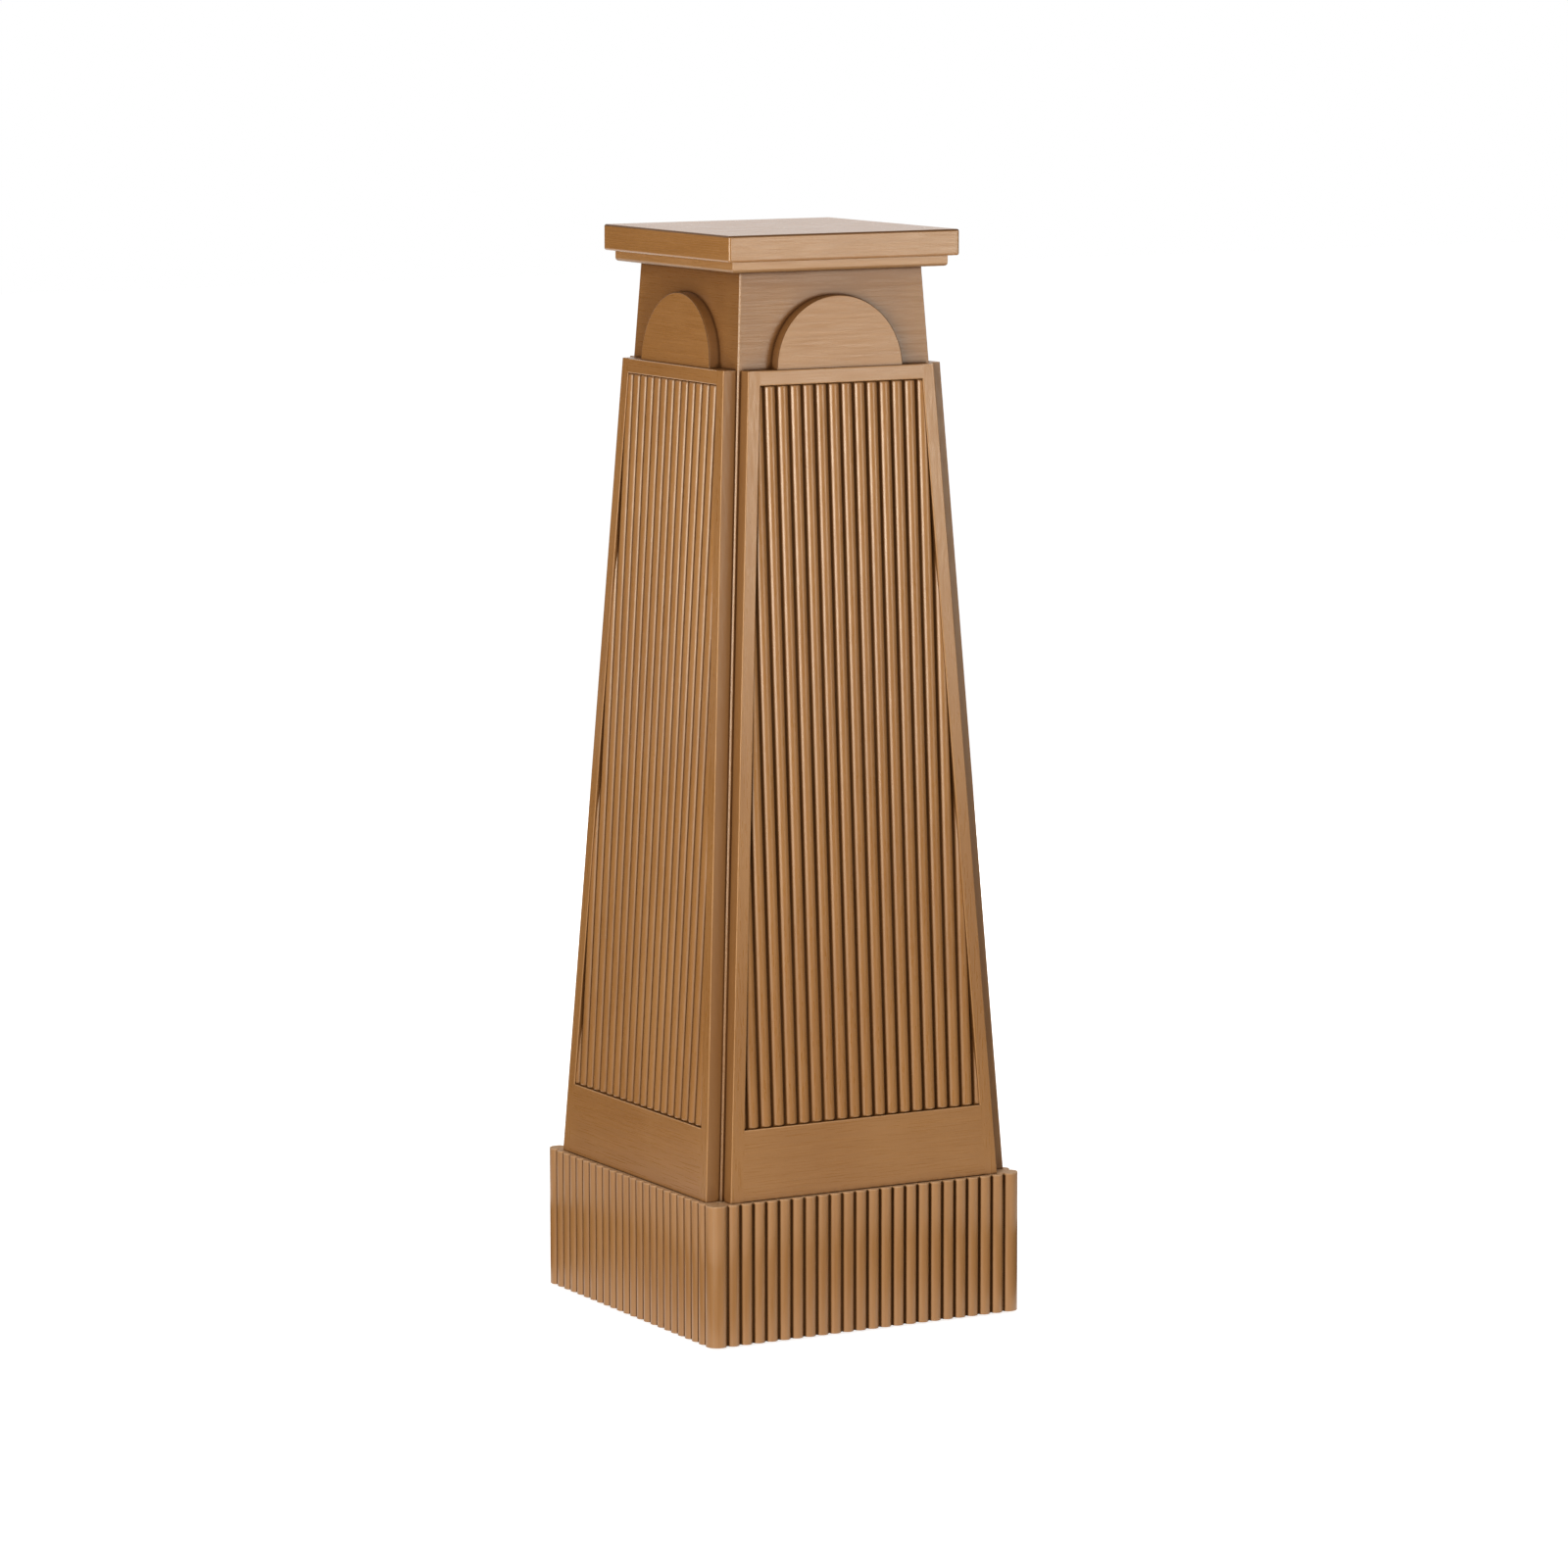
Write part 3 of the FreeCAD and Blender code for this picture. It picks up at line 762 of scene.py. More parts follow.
def plain_mesh(mesh: Solid, sharp: float = 38.0, slight: float = 3.0,
               share: float = 6.0) -> bpy.types.Mesh:
    """Turn a working mesh into a plain one, smooth on rounded forms and true on flat ones.

    Args:
        mesh: The working mesh, which is freed.
        sharp: Edges that turn by more than this many degrees stay sharp.
        slight: Edges between a large and a small face stay sharp from this many degrees, so
            that a rounded edge doesn't bend the light on the flat beside it.
        share: How many times larger the large face is.

    Returns:
        The plain mesh.
    """
    for face in mesh.faces:
        face.smooth = True
    for edge in mesh.edges:
        if len(edge.link_faces) == 2:
            turn = math.degrees(edge.calc_face_angle(0.0))
            small, large = sorted(face.calc_area() for face in edge.link_faces)
            edge.smooth = not (turn > sharp or (turn > slight and large > share * small))
    plain = bpy.data.meshes.new("plain")
    mesh.to_mesh(plain)
    mesh.free()
    return plain


def into_scene(name: str, data: bpy.types.ID) -> bpy.types.Object:
    """Make an object of a mesh, lamp or camera and put it in the scene.

    Args:
        name: The object's name.
        data: The mesh, lamp or camera.

    Returns:
        The object.
    """
    thing = bpy.data.objects.new(name, data)
    bpy.context.scene.collection.objects.link(thing)
    return thing


def hand_over(name: str, plain: bpy.types.Mesh, material: Finish,
              nodes: Sequence[str]) -> bpy.types.Object:
    """Put a finished mesh in the scene in place of its nodes.

    Args:
        name: The piece's name.
        plain: Its mesh, in place.
        material: Its finish.
        nodes: The nodes that it stands for.

    Returns:
        The piece.
    """
    plain.name = name
    plain.materials.clear()
    plain.materials.append(material)
    piece = into_scene(name, plain)
    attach(piece, BODY)
    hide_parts(*nodes)
    LOG.info("%s: %d faces", name, len(plain.polygons))
    return piece


def square_ring(half: float, height: float) -> list[Vector]:
    """Four corners of a level square centred on the axis."""
    return [Vector((x * half, y * half, height)) for x, y in ((-1, -1), (1, -1), (1, 1), (-1, 1))]


# ---- Stepped top

@dataclass
class SteppedTop:
    """The square top board and the thinner board under it."""

    finish: Finish
    cap_painted_sheen_finish: Finish
    edge_radius: float = 2.2 * MM
    cap_lower_radius: float = 3.0 * MM
    cap_shade: float = 0.45

    def build(self) -> None:
        """Make both boards."""
        low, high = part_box("top_board")
        top = loft([square_ring(high.x, low.z), square_ring(high.x, high.z)])
        ease(top, self._upright, self.edge_radius)
        # The top edges get a dark line of glaze and painted shade.
        ease(top, lambda edge: min(vertex.co.z for vertex in edge.verts) > high.z - MM,
             self.edge_radius, mark="line")
        ease(top, lambda edge: max(vertex.co.z for vertex in edge.verts) < low.z + MM,
             self.edge_radius)
        hand_over("eased_top_board", plain_mesh(top), self.finish, ["top_board"])
        low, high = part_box("cap_plate")
        cap = loft([square_ring(high.x, low.z), square_ring(high.x, high.z)])
        ease(cap, lambda edge: all(vertex.co.z < high.z - MM for vertex in edge.verts),
             self.cap_lower_radius, mark="line", level=self.cap_shade)
        hand_over("rounded_cap_plate", plain_mesh(cap), self.cap_painted_sheen_finish, ["cap_plate"])

    @staticmethod
    def _upright(edge: bmesh.types.BMEdge) -> bool:
        """Tell whether an edge runs up a corner."""
        return abs(edge.verts[0].co.z - edge.verts[1].co.z) > MM


# ---- Shaft

@dataclass
class Shaft:
    """Four mitred boards that taper, with a narrow flat planed along each corner."""

    sizes: StandSizes
    finish: Finish
    arris: float = 1.1 * MM
    wear_and_highlight_width: float = 0.4 * MM
    seam: float = 0.05 * MM

    def build(self) -> None:
        """Make the four boards."""
        for side in Side:
            rings, rubbed = zip(self._ring(self.sizes.foot_z), self._ring(self.sizes.head_z))
            board = loft(rings, {"rub": rubbed[0]})
            board.transform(side.turn)
            hand_over(f"shaft_face_{side.label}", plain_mesh(board, sharp=25.0), self.finish,
                      [f"shaft_board_{side.label}"])

    def _plan(self, height: float) -> Plan:
        """The right half of a board's outline at a height, with how much wear and painted
        highlight each point has.

        Args:
            height: The height.

        Returns:
            The outline's points.
        """
        outer = self.sizes.shaft_half(height)
        inner = outer - self.sizes.shaft_board
        flat_end = outer - self.arris
        step = self.wear_and_highlight_width / math.sqrt(2)
        mitre = outer - self.arris / 2
        return [
            (flat_end - self.wear_and_highlight_width, -outer, 0.0),
            (flat_end, -outer, 1.0),
            (flat_end + step, -outer + step, 0.0),
            (mitre - self.seam, -mitre, 0.0),
            (inner - self.seam, -inner, 0.0),
        ]

    def _ring(self, height: float) -> tuple[list[Vector], list[float]]:
        """A board's whole outline at a height, and how much wear and painted highlight each point
        has.

        Args:
            height: The height.

        Returns:
            The points, and a number from zero to one for each.
        """
        right = self._plan(height)
        whole = [(-x, y, rubbed) for x, y, rubbed in reversed(right)] + right
        return ([Vector((x, y, height)) for x, y, _ in whole], [rubbed for _, _, rubbed in whole])


# ---- Applied frames, arches and reeded panels

@dataclass
class LeaningPiece:
    """Anything that lies against a shaft face and leans with it."""

    sizes: StandSizes

    def at(self, x: float, out: float, height: float) -> Vector:
        """A point at the front, a distance outside the shaft's face at a height."""
        return Vector((x, -(self.sizes.shaft_half(height) + out), height))

    def stands_out(self, point: Vector) -> float:
        """How far a point at the front stands outside the shaft's face."""
        return -point.y - self.sizes.shaft_half(point.z)

    def glaze_and_shade_walls(self, mesh: Solid, below: float, strength: float) -> None:
        """Lay glaze and painted shade on a piece's side walls.

        Args:
            mesh: The piece, at the front.
            below: Points that stand less than this outside the shaft belong to the walls.
            strength: How strong the glaze and painted shade are, as strong as in a groove's depth
                at one.
        """
        layer = mark_layer(mesh, "groove")
        for vertex in mesh.verts:
            if self.stands_out(vertex.co) < below + NEAR:
                vertex[layer] = strength


@dataclass
class AppliedFrame(LeaningPiece):
    """Two slanted stiles and two rails on a shaft face."""

    stile_finish: Finish
    rail_finish: Finish
    edge_radius: float = 0.9 * MM
    closed_radius: float = 0.02 * MM
    fade: float = 0.3 * MM
    arc_steps: int = 3
    wall_glaze: float = 0.80

    def build(self, side: Side) -> None:
        """Make a side's four pieces.

        Args:
            side: The side that they are on.
        """
        for hand in Hand:
            self._stile(side, hand)
        # The bottom rail's walls stay clear; the top rail's walls get glaze and painted shade.
        self._rail(side, "bottom_rail", 0.0)
        self._rail(side, "top_rail", self.wall_glaze)

    def _corner(self, radius: float) -> list[Spot]:
        """An eased corner's points as distances back from the wall and from the face.

        Args:
            radius: The corner's radius.

        Returns:
            The points, from the wall to the face.
        """
        return [(radius * (1 - math.cos(math.pi / 2 * step / self.arc_steps)),
                 radius * (1 - math.sin(math.pi / 2 * step / self.arc_steps)))
                for step in range(self.arc_steps + 1)]

    def _section(self, start: float, end: float, start_radius: float) -> list[Spot]:
        """A bar's outline from wall to wall, as places across it and distances out.

        Args:
            start: Where the first wall is.
            end: Where the last wall is.
            start_radius: The first corner's radius.

        Returns:
            The outline's points.
        """
        thickness = self.sizes.frame_thickness
        return [
            (start, 0.0),
            *((start + back, thickness - down) for back, down in self._corner(start_radius)),
            *((end - back, thickness - down)
              for back, down in reversed(self._corner(self.edge_radius))),
            (end, 0.0),
        ]

    def _marks(self, wall: float) -> dict[str, list[float]]:
        """Glaze and painted shade on the two walls of a section, and wear with a painted highlight
        on its two eased corners.

        Args:
            wall: How strong the glaze and painted shade on the walls are.

        Returns:
            A value of each attribute for every point of a section.
        """
        steps = self.arc_steps
        rubbed = [1.0 if 0 < step < steps else 0.0 for step in range(steps + 1)]
        return {
            "groove": [wall, wall, *[0.0] * (2 * steps), wall, wall],
            "rub": [0.0, *rubbed, *rubbed, 0.0],
        }

    def _stile(self, side: Side, hand: Hand) -> None:
        """Make one stile, eased where it is bare.

        Args:
            side: The side that it is on.
            hand: Which of the two it is.
        """
        label, sign = hand.value
        _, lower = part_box("bottom_rail_front")
        upper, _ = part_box("top_rail_front")
        levels = [
            (self.sizes.foot_z, self.closed_radius),
            (lower.z - self.fade, self.closed_radius),
            (lower.z, self.edge_radius),
            (upper.z, self.edge_radius),
            (upper.z + self.fade, self.closed_radius),
            (self.sizes.frame_top, self.closed_radius),
        ]
        rings = []
        for height, inner_radius in levels:
            section = self._section(self.sizes.opening_half(height),
                                    self.sizes.frame_half(height), inner_radius)
            rings.append([self.at(sign * x, out, height) for x, out in section])
        stile = loft(rings, self._marks(self.wall_glaze))
        stile.transform(side.turn)
        hand_over(f"frame_stile_{label}_{side.label}", plain_mesh(stile), self.stile_finish,
                  [f"stile_{label}_{side.label}"])

    def _rail(self, side: Side, kind: str, wall: float) -> None:
        """Make one rail, eased along its two long edges.

        Args:
            side: The side that it is on.
            kind: "top_rail" or "bottom_rail".
            wall: How strong the glaze and painted shade on its walls are.
        """
        low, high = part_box(f"{kind}_front")
        section = self._section(low.z, high.z, self.edge_radius)
        rings = [[self.at(sign * self.sizes.opening_half(height), out, height)
                  for height, out in section] for sign in (-1, 1)]
        rail = loft(rings, self._marks(wall))
        rail.transform(side.turn)
        hand_over(f"frame_{kind}_{side.label}", plain_mesh(rail), self.rail_finish,
                  [f"{kind}_{side.label}"])


@dataclass
class ArchPlate(LeaningPiece):
    """The half-round plate that stands on a frame."""

    finish: Finish
    edge_radius: float = 1.0 * MM
    wall_glaze: float = 0.80
    facets: int = 72

    def build(self, side: Side) -> None:
        """Make a side's arch.

        Args:
            side: The side that it is on.
        """
        low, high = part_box("arch_plate_front")
        radius = high.x
        thickness = -low.y - self.sizes.shaft_half(low.z)
        outline = [
            (radius * math.cos(math.pi * step / self.facets),
             low.z + radius * math.sin(math.pi * step / self.facets))
            for step in range(self.facets + 1)
        ]
        arch = loft([[self.at(x, out, z) for x, z in outline] for out in (0.0, thickness)])

        def front_arc(edge: bmesh.types.BMEdge) -> bool:
            """Tell whether an edge belongs to the arch's front outline above its foot."""
            in_front = all(self.stands_out(vertex.co) > thickness / 2 for vertex in edge.verts)
            return in_front and max(vertex.co.z for vertex in edge.verts) > low.z + NEAR

        # The front edge gets glaze and painted shade, and so do the side walls below.
        ease(arch, front_arc, self.edge_radius, segments=3, mark="line")
        self.glaze_and_shade_walls(arch, thickness - self.edge_radius, self.wall_glaze)
        arch.transform(side.turn)
        hand_over(f"half_round_arch_{side.label}", plain_mesh(arch), self.finish,
                  [f"arch_plate_{side.label}"])


# ---- Reeds, made by geometry nodes

class GeometryBoard:
    """A geometry node tree, with short calls that add nodes and wire them."""

    def __init__(self, name: str) -> None:
        """Start a tree with one geometry output.

        Args:
            name: The tree's name.
        """
        self.tree = bpy.data.node_groups.new(name, "GeometryNodeTree")
        self.tree.interface.new_socket(name="Geometry", in_out="OUTPUT",
                                       socket_type="NodeSocketGeometry")
        self.entry = self.tree.nodes.new("NodeGroupInput")
        self.exit = self.tree.nodes.new("NodeGroupOutput")
        self.identifiers: dict[str, str] = {}

    def input(self, name: str, kind: str) -> Socket:
        """Add a named input of a kind such as "Int", "Float" or "Material".

        Args:
            name: The input's name.
            kind: Its kind.

        Returns:
            Its socket inside the tree.
        """
        item = self.tree.interface.new_socket(name=name, in_out="INPUT",
                                              socket_type=f"NodeSocket{kind}")
        self.identifiers[name] = item.identifier
        return next(s for s in self.entry.outputs if s.identifier == item.identifier)

    def inputs(self, **kinds: str) -> list[Socket]:
        """Add several inputs, named with underscores for spaces, each with its kind."""
        return [self.input(name.replace("_", " "), kind) for name, kind in kinds.items()]

    def node(self, kind: str, inputs: Optional[dict] = None, **settings: object) -> bpy.types.Node:
        """Add a node, set its properties and feed its inputs, given by name or number.

        Args:
            kind: The node's type.
            inputs: A link or a value for each input.
            **settings: Its properties.

        Returns:
            The node.
        """
        node = self.tree.nodes.new(kind)
        for key, value in settings.items():
            setattr(node, key, value)
        for key, source in (inputs or {}).items():
            if isinstance(source, Socket):
                self.tree.links.new(source, node.inputs[key])
            else:
                node.inputs[key].default_value = source
        return node

    def maths(self, operation: str, first: object, second: object = 0.0,
              third: object = 0.0) -> Socket:
        """Work out a number from others."""
        return self.node("ShaderNodeMath", {0: first, 1: second, 2: third},
                         operation=operation).outputs[0]

    def choose(self, when: Socket, otherwise: object, then: object) -> Socket:
        """Pick one of two numbers, by a number that is zero or one."""
        return self.node("ShaderNodeMix", {0: when, 2: otherwise, 3: then},
                         data_type="FLOAT").outputs[0]

    def vector(self, **axes: object) -> Socket:
        """Put a vector together from its X, Y and Z, zero where one isn't given."""
        return self.node("ShaderNodeCombineXYZ", axes).outputs[0]

    def moved(self, geometry: object, **axes: object) -> Socket:
        """Move a geometry along the axes given."""
        return self.node("GeometryNodeTransform", {
            "Geometry": geometry, "Translation": self.vector(**axes)}).outputs[0]

    def joined(self, parts: Sequence[Socket]) -> Socket:
        """Join geometries into one.

        Args:
            parts: The geometries.

        Returns:
            All of them together.
        """
        whole = self.node("GeometryNodeJoinGeometry")
        for part in parts:
            self.tree.links.new(part, whole.inputs[0])
        return whole.outputs[0]

    def finish(self, geometry: Socket, material: Socket) -> None:
        """End the tree: instances made real, and the finish set.

        Args:
            geometry: What the tree has made.
            material: Its finish.
        """
        real = self.node("GeometryNodeRealizeInstances", {"Geometry": geometry})
        dressed = self.node("GeometryNodeSetMaterial", {
            "Geometry": real.outputs[0], "Material": material})
        self.tree.links.new(dressed.outputs[0], self.exit.inputs[0])

    def run(self, **values: object) -> bpy.types.Mesh:
        """Evaluate the tree once and keep the result as a plain mesh.

        Args:
            **values: A value for each named input, with underscores for spaces.

        Returns:
            The mesh that the tree makes.
        """
        carrier = into_scene("carrier", bpy.data.meshes.new("carrier"))
        modifier = carrier.modifiers.new("maker", "NODES")
        modifier.node_group = self.tree
        for name, value in values.items():
            modifier[self.identifiers[name.replace("_", " ")]] = value
        graph = bpy.context.evaluated_depsgraph_get()
        graph.update()
        made = bpy.data.meshes.new_from_object(carrier.evaluated_get(graph))
        carrier.modifiers.remove(modifier)
        bpy.data.objects.remove(carrier)
        return made


class ReedRow:
    """A row of half-round reeds with narrow square grooves between them.

    The tree draws the row's outline in plan, crests at Y zero and wood at +Y, and pulls it up to
    a length. Its ends stay open for the joiner to close.
    """

    CURVE_POINTS = 15
    END_POINTS = 4

    def __init__(self) -> None:
        """Build the tree."""
        board = GeometryBoard("Reed row")
        self.board = board
        (reeds, pitch, groove, depth, radius, back, length, waver, seed,
         material) = board.inputs(
            Reeds="Int", Pitch="Float", Groove_Width="Float", Groove_Depth="Float",
            Reed_Radius="Float", Back="Float", Length="Float", Waver="Float", Seed="Int",
            Material="Material")

        per_reed = self.CURVE_POINTS + 2
        count = board.maths("MULTIPLY_ADD", reeds, per_reed, self.END_POINTS)
        line = board.node("GeometryNodeMeshLine", {"Count": count})
        index = board.node("GeometryNodeInputIndex").outputs[0]
        shifted = board.maths("SUBTRACT", index, 1)
        cell = board.maths("FLOOR", board.maths("DIVIDE", board.maths("ADD", shifted, 0.5),
                                                per_reed))
        step = board.maths("SUBTRACT", shifted, board.maths("MULTIPLY", cell, per_reed))
        share = board.maths("DIVIDE", board.maths("SUBTRACT", step, 1), self.CURVE_POINTS - 1)
        held = board.maths("MINIMUM", board.maths("MAXIMUM", share, 0.0), 1.0)
        reed_half = board.maths("MULTIPLY", board.maths("SUBTRACT", pitch, groove), 0.5)
        spread = board.maths("ARCSINE", board.maths("DIVIDE", reed_half, radius))
        angle = board.maths("MULTIPLY", board.maths("MULTIPLY_ADD", held, 2.0, -1.0), spread)
        middle = board.maths("MULTIPLY", board.maths("SUBTRACT", reeds, 1), 0.5)
        centre = board.maths("MULTIPLY", board.maths("SUBTRACT", cell, middle), pitch)
        x = board.maths("MULTIPLY_ADD", board.maths("SINE", angle), radius, centre)
        drop = board.maths("MULTIPLY", radius,
                           board.maths("SUBTRACT", 1.0, board.maths("COSINE", angle)))
        at_wall = board.maths("MAXIMUM", board.maths("LESS_THAN", step, 0.5),
                              board.maths("GREATER_THAN", step, self.CURVE_POINTS + 0.5))
        y = board.choose(at_wall, drop, depth)
        edge_drop = board.maths("MULTIPLY", radius, board.maths(
            "SUBTRACT", 1.0, board.maths("COSINE", spread)))
        share_sunk = board.maths("MINIMUM", board.maths("DIVIDE", y, edge_drop), 1.0)
        chance = board.node("FunctionNodeRandomValue", {"ID": cell, "Seed": seed},
                            data_type="FLOAT")
        y = board.maths("ADD", y, board.maths("MULTIPLY", chance.outputs[1], waver))

        half = board.maths("MULTIPLY", board.maths("MULTIPLY", reeds, pitch), 0.5)
        at_first = board.maths("LESS_THAN", index, 0.5)
        from_end = board.maths("SUBTRACT", count, index)
        in_tail = board.maths("LESS_THAN", from_end, 3.5)
        at_back = board.maths("LESS_THAN", from_end, 2.5)
        at_last = board.maths("LESS_THAN", from_end, 1.5)
        x = board.choose(in_tail, x, half)
        x = board.choose(board.maths("MAXIMUM", at_first, at_last), x,
                         board.maths("MULTIPLY", half, -1))
        y = board.choose(board.maths("MAXIMUM", at_first, in_tail), y, depth)
        y = board.choose(at_back, y, back)

        shaped = board.node("GeometryNodeSetPosition", {
            "Geometry": line.outputs[0], "Position": board.vector(X=x, Y=y)})
        in_end = board.maths("MAXIMUM", at_first, in_tail)
        sunk = board.choose(in_end, share_sunk, 0.0)
        marked = board.node("GeometryNodeStoreNamedAttribute", {
            "Geometry": shaped.outputs[0], "Name": "groove", "Value": sunk},
            data_type="FLOAT", domain="POINT")
        curve = board.node("GeometryNodeMeshToCurve", {"Mesh": marked.outputs[0]})
        loop = board.node("GeometryNodeSetSplineCyclic", {
            "Geometry": curve.outputs[0], "Cyclic": True})
        ring = board.node("GeometryNodeCurveToMesh", {"Curve": loop.outputs[0]})
        walls = board.node("GeometryNodeExtrudeMesh", {
            "Mesh": ring.outputs[0], "Offset": board.vector(Z=length)}, mode="EDGES")
        board.finish(walls.outputs[0], material)

    def make(self, **values: object) -> Solid:
        """Make a row and close its two ends.

        Args:
            **values: The tree's named inputs, with underscores for spaces.

        Returns:
            A closed solid that stands on Z zero.
        """
        plain = self.board.run(**values)
        row = bmesh.new()
        row.from_mesh(plain)
        bpy.data.meshes.remove(plain)
        close_holes(row)
        return row


def close_holes(mesh: Solid) -> None:
    """Close every open loop of a mesh with one face and point all faces outwards.

    Args:
        mesh: The mesh.
    """
    open_edges = [edge for edge in mesh.edges if edge.is_boundary]
    bmesh.ops.holes_fill(mesh, edges=open_edges, sides=0)
    bmesh.ops.recalc_face_normals(mesh, faces=mesh.faces)


def cut(mesh: Solid, point: Vector, outward: Vector, clear: bool = False) -> None:
    """Cut a mesh along a plane.

    Args:
        mesh: The mesh.
        point: A point of the plane.
        outward: The plane's normal.
        clear: Whether what lies on the normal's side goes.
    """
    everything = [*mesh.verts, *mesh.edges, *mesh.faces]
    bmesh.ops.bisect_plane(mesh, geom=everything, dist=CUT_REACH, plane_co=point,
                           plane_no=outward, clear_outer=clear)


def slice_off(mesh: Solid, point: Vector, outward: Vector) -> None:
    """Cut away what lies outside a plane, given by a point and its normal, and close the cut."""
    cut(mesh, point, outward, clear=True)
    close_holes(mesh)


@dataclass(frozen=True)
class ReedShape:
    """The section that the reeds of the panels and the plinth share."""

    pitch: float = 14.1 * MM
    groove_width: float = 2.6 * MM
    groove_depth: float = 5.0 * MM
    radius: float = 6.6 * MM

    @property
    def half_width(self) -> float:
        """Half the width of a reed between its grooves."""
        return (self.pitch - self.groove_width) / 2

    @property
    def spread(self) -> float:
        """The angle from a reed's crest to where its wall begins."""
        return math.asin(self.half_width / self.radius)

    @property
    def edge_fall(self) -> float:
        """How far a reed has fallen where its wall begins."""
        return self.radius * (1 - math.cos(self.spread))

    def inputs(self) -> dict[str, float]:
        """The section's sizes as a reed row's inputs.

        Returns:
            A size for each of those inputs.
        """
        return {
            "Pitch": self.pitch, "Groove_Width": self.groove_width,
            "Groove_Depth": self.groove_depth, "Reed_Radius": self.radius,
        }


@dataclass
class ReededPanel(LeaningPiece):
    """The reeded board inside a frame, its outer reeds cut off by the slanted stiles."""

    row: ReedRow
    shape: ReedShape
    finish: Finish
    recess: float = 1.3 * MM
    joint: float = 0.05 * MM
    waver: float = 0.08 * MM
    first_seed: int = 1
    sunk_share: float = 0.6
    end_steps: tuple[Spot, ...] = (
        (0.0, 1.9 * MM), (0.5 * MM, 0.9 * MM), (1.2 * MM, 0.3 * MM), (2.4 * MM, 0.0))

    def build(self, side: Side) -> None:
        """Make a side's panel.

        Args:
            side: The side that it is on.
        """
        _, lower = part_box("bottom_rail_front")
        upper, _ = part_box("top_rail_front")
        low, high = lower.z + self.joint, upper.z - self.joint
        out = self.sizes.frame_thickness - self.recess
        lean = math.atan(self.sizes.taper)
        reeds = 2 * math.ceil(self.sizes.opening_half(low) / self.shape.pitch)
        length = (high - low) / math.cos(lean) + 2 * out
        panel = self.row.make(Reeds=reeds, Back=out - self.joint, Length=length,
                              Waver=self.waver, Seed=list(Side).index(side) + self.first_seed,
                              Material=self.finish, **self.shape.inputs())
        panel.transform(Matrix.Translation((0.0, -out, -out)))
        panel.transform(Matrix.Rotation(-lean, 4, "X"))
        panel.transform(Matrix.Translation((0.0, -self.sizes.shaft_half(low), low)))
        slice_off(panel, Vector((0, 0, low)), Vector((0, 0, -1)))
        slice_off(panel, Vector((0, 0, high)), Vector((0, 0, 1)))
        self._round_ends(panel, low, high)
        for sign in (-1, 1):
            foot = Vector((sign * self.sizes.opening_half(low), 0.0, low))
            slice_off(panel, foot, Vector((sign, 0.0, self.sizes.taper)).normalized())
        panel.transform(side.turn)
        hand_over(f"inset_reeds_{side.label}", plain_mesh(panel, sharp=50.0), self.finish,
                  [f"reeded_panel_{side.label}"])

    def _round_ends(self, panel: Solid, low: float, high: float) -> None:
        """Round each reed's two ends down towards the rails.

        Args:
            panel: The panel, at the front.
            low: Height of its lower end.
            high: Height of its upper end.
        """
        groove = mark_layer(panel, "groove")
        front = self.sizes.frame_thickness - self.recess
        for end, inward in ((low, 1.0), (high, -1.0)):
            for distance, _ in self.end_steps[1:]:
                cut(panel, Vector((0, 0, end + inward * distance)), Vector((0, 0, 1)))
            for vertex in panel.verts:
                if self.stands_out(vertex.co) < front - self.shape.groove_depth + 0.3 * MM:
                    continue
                for distance, fall in self.end_steps:
                    if abs(vertex.co.z - end - inward * distance) < NEAR / 2:
                        vertex.co.y += fall * (1.0 - self.sunk_share * vertex[groove])


# ---- Plinth

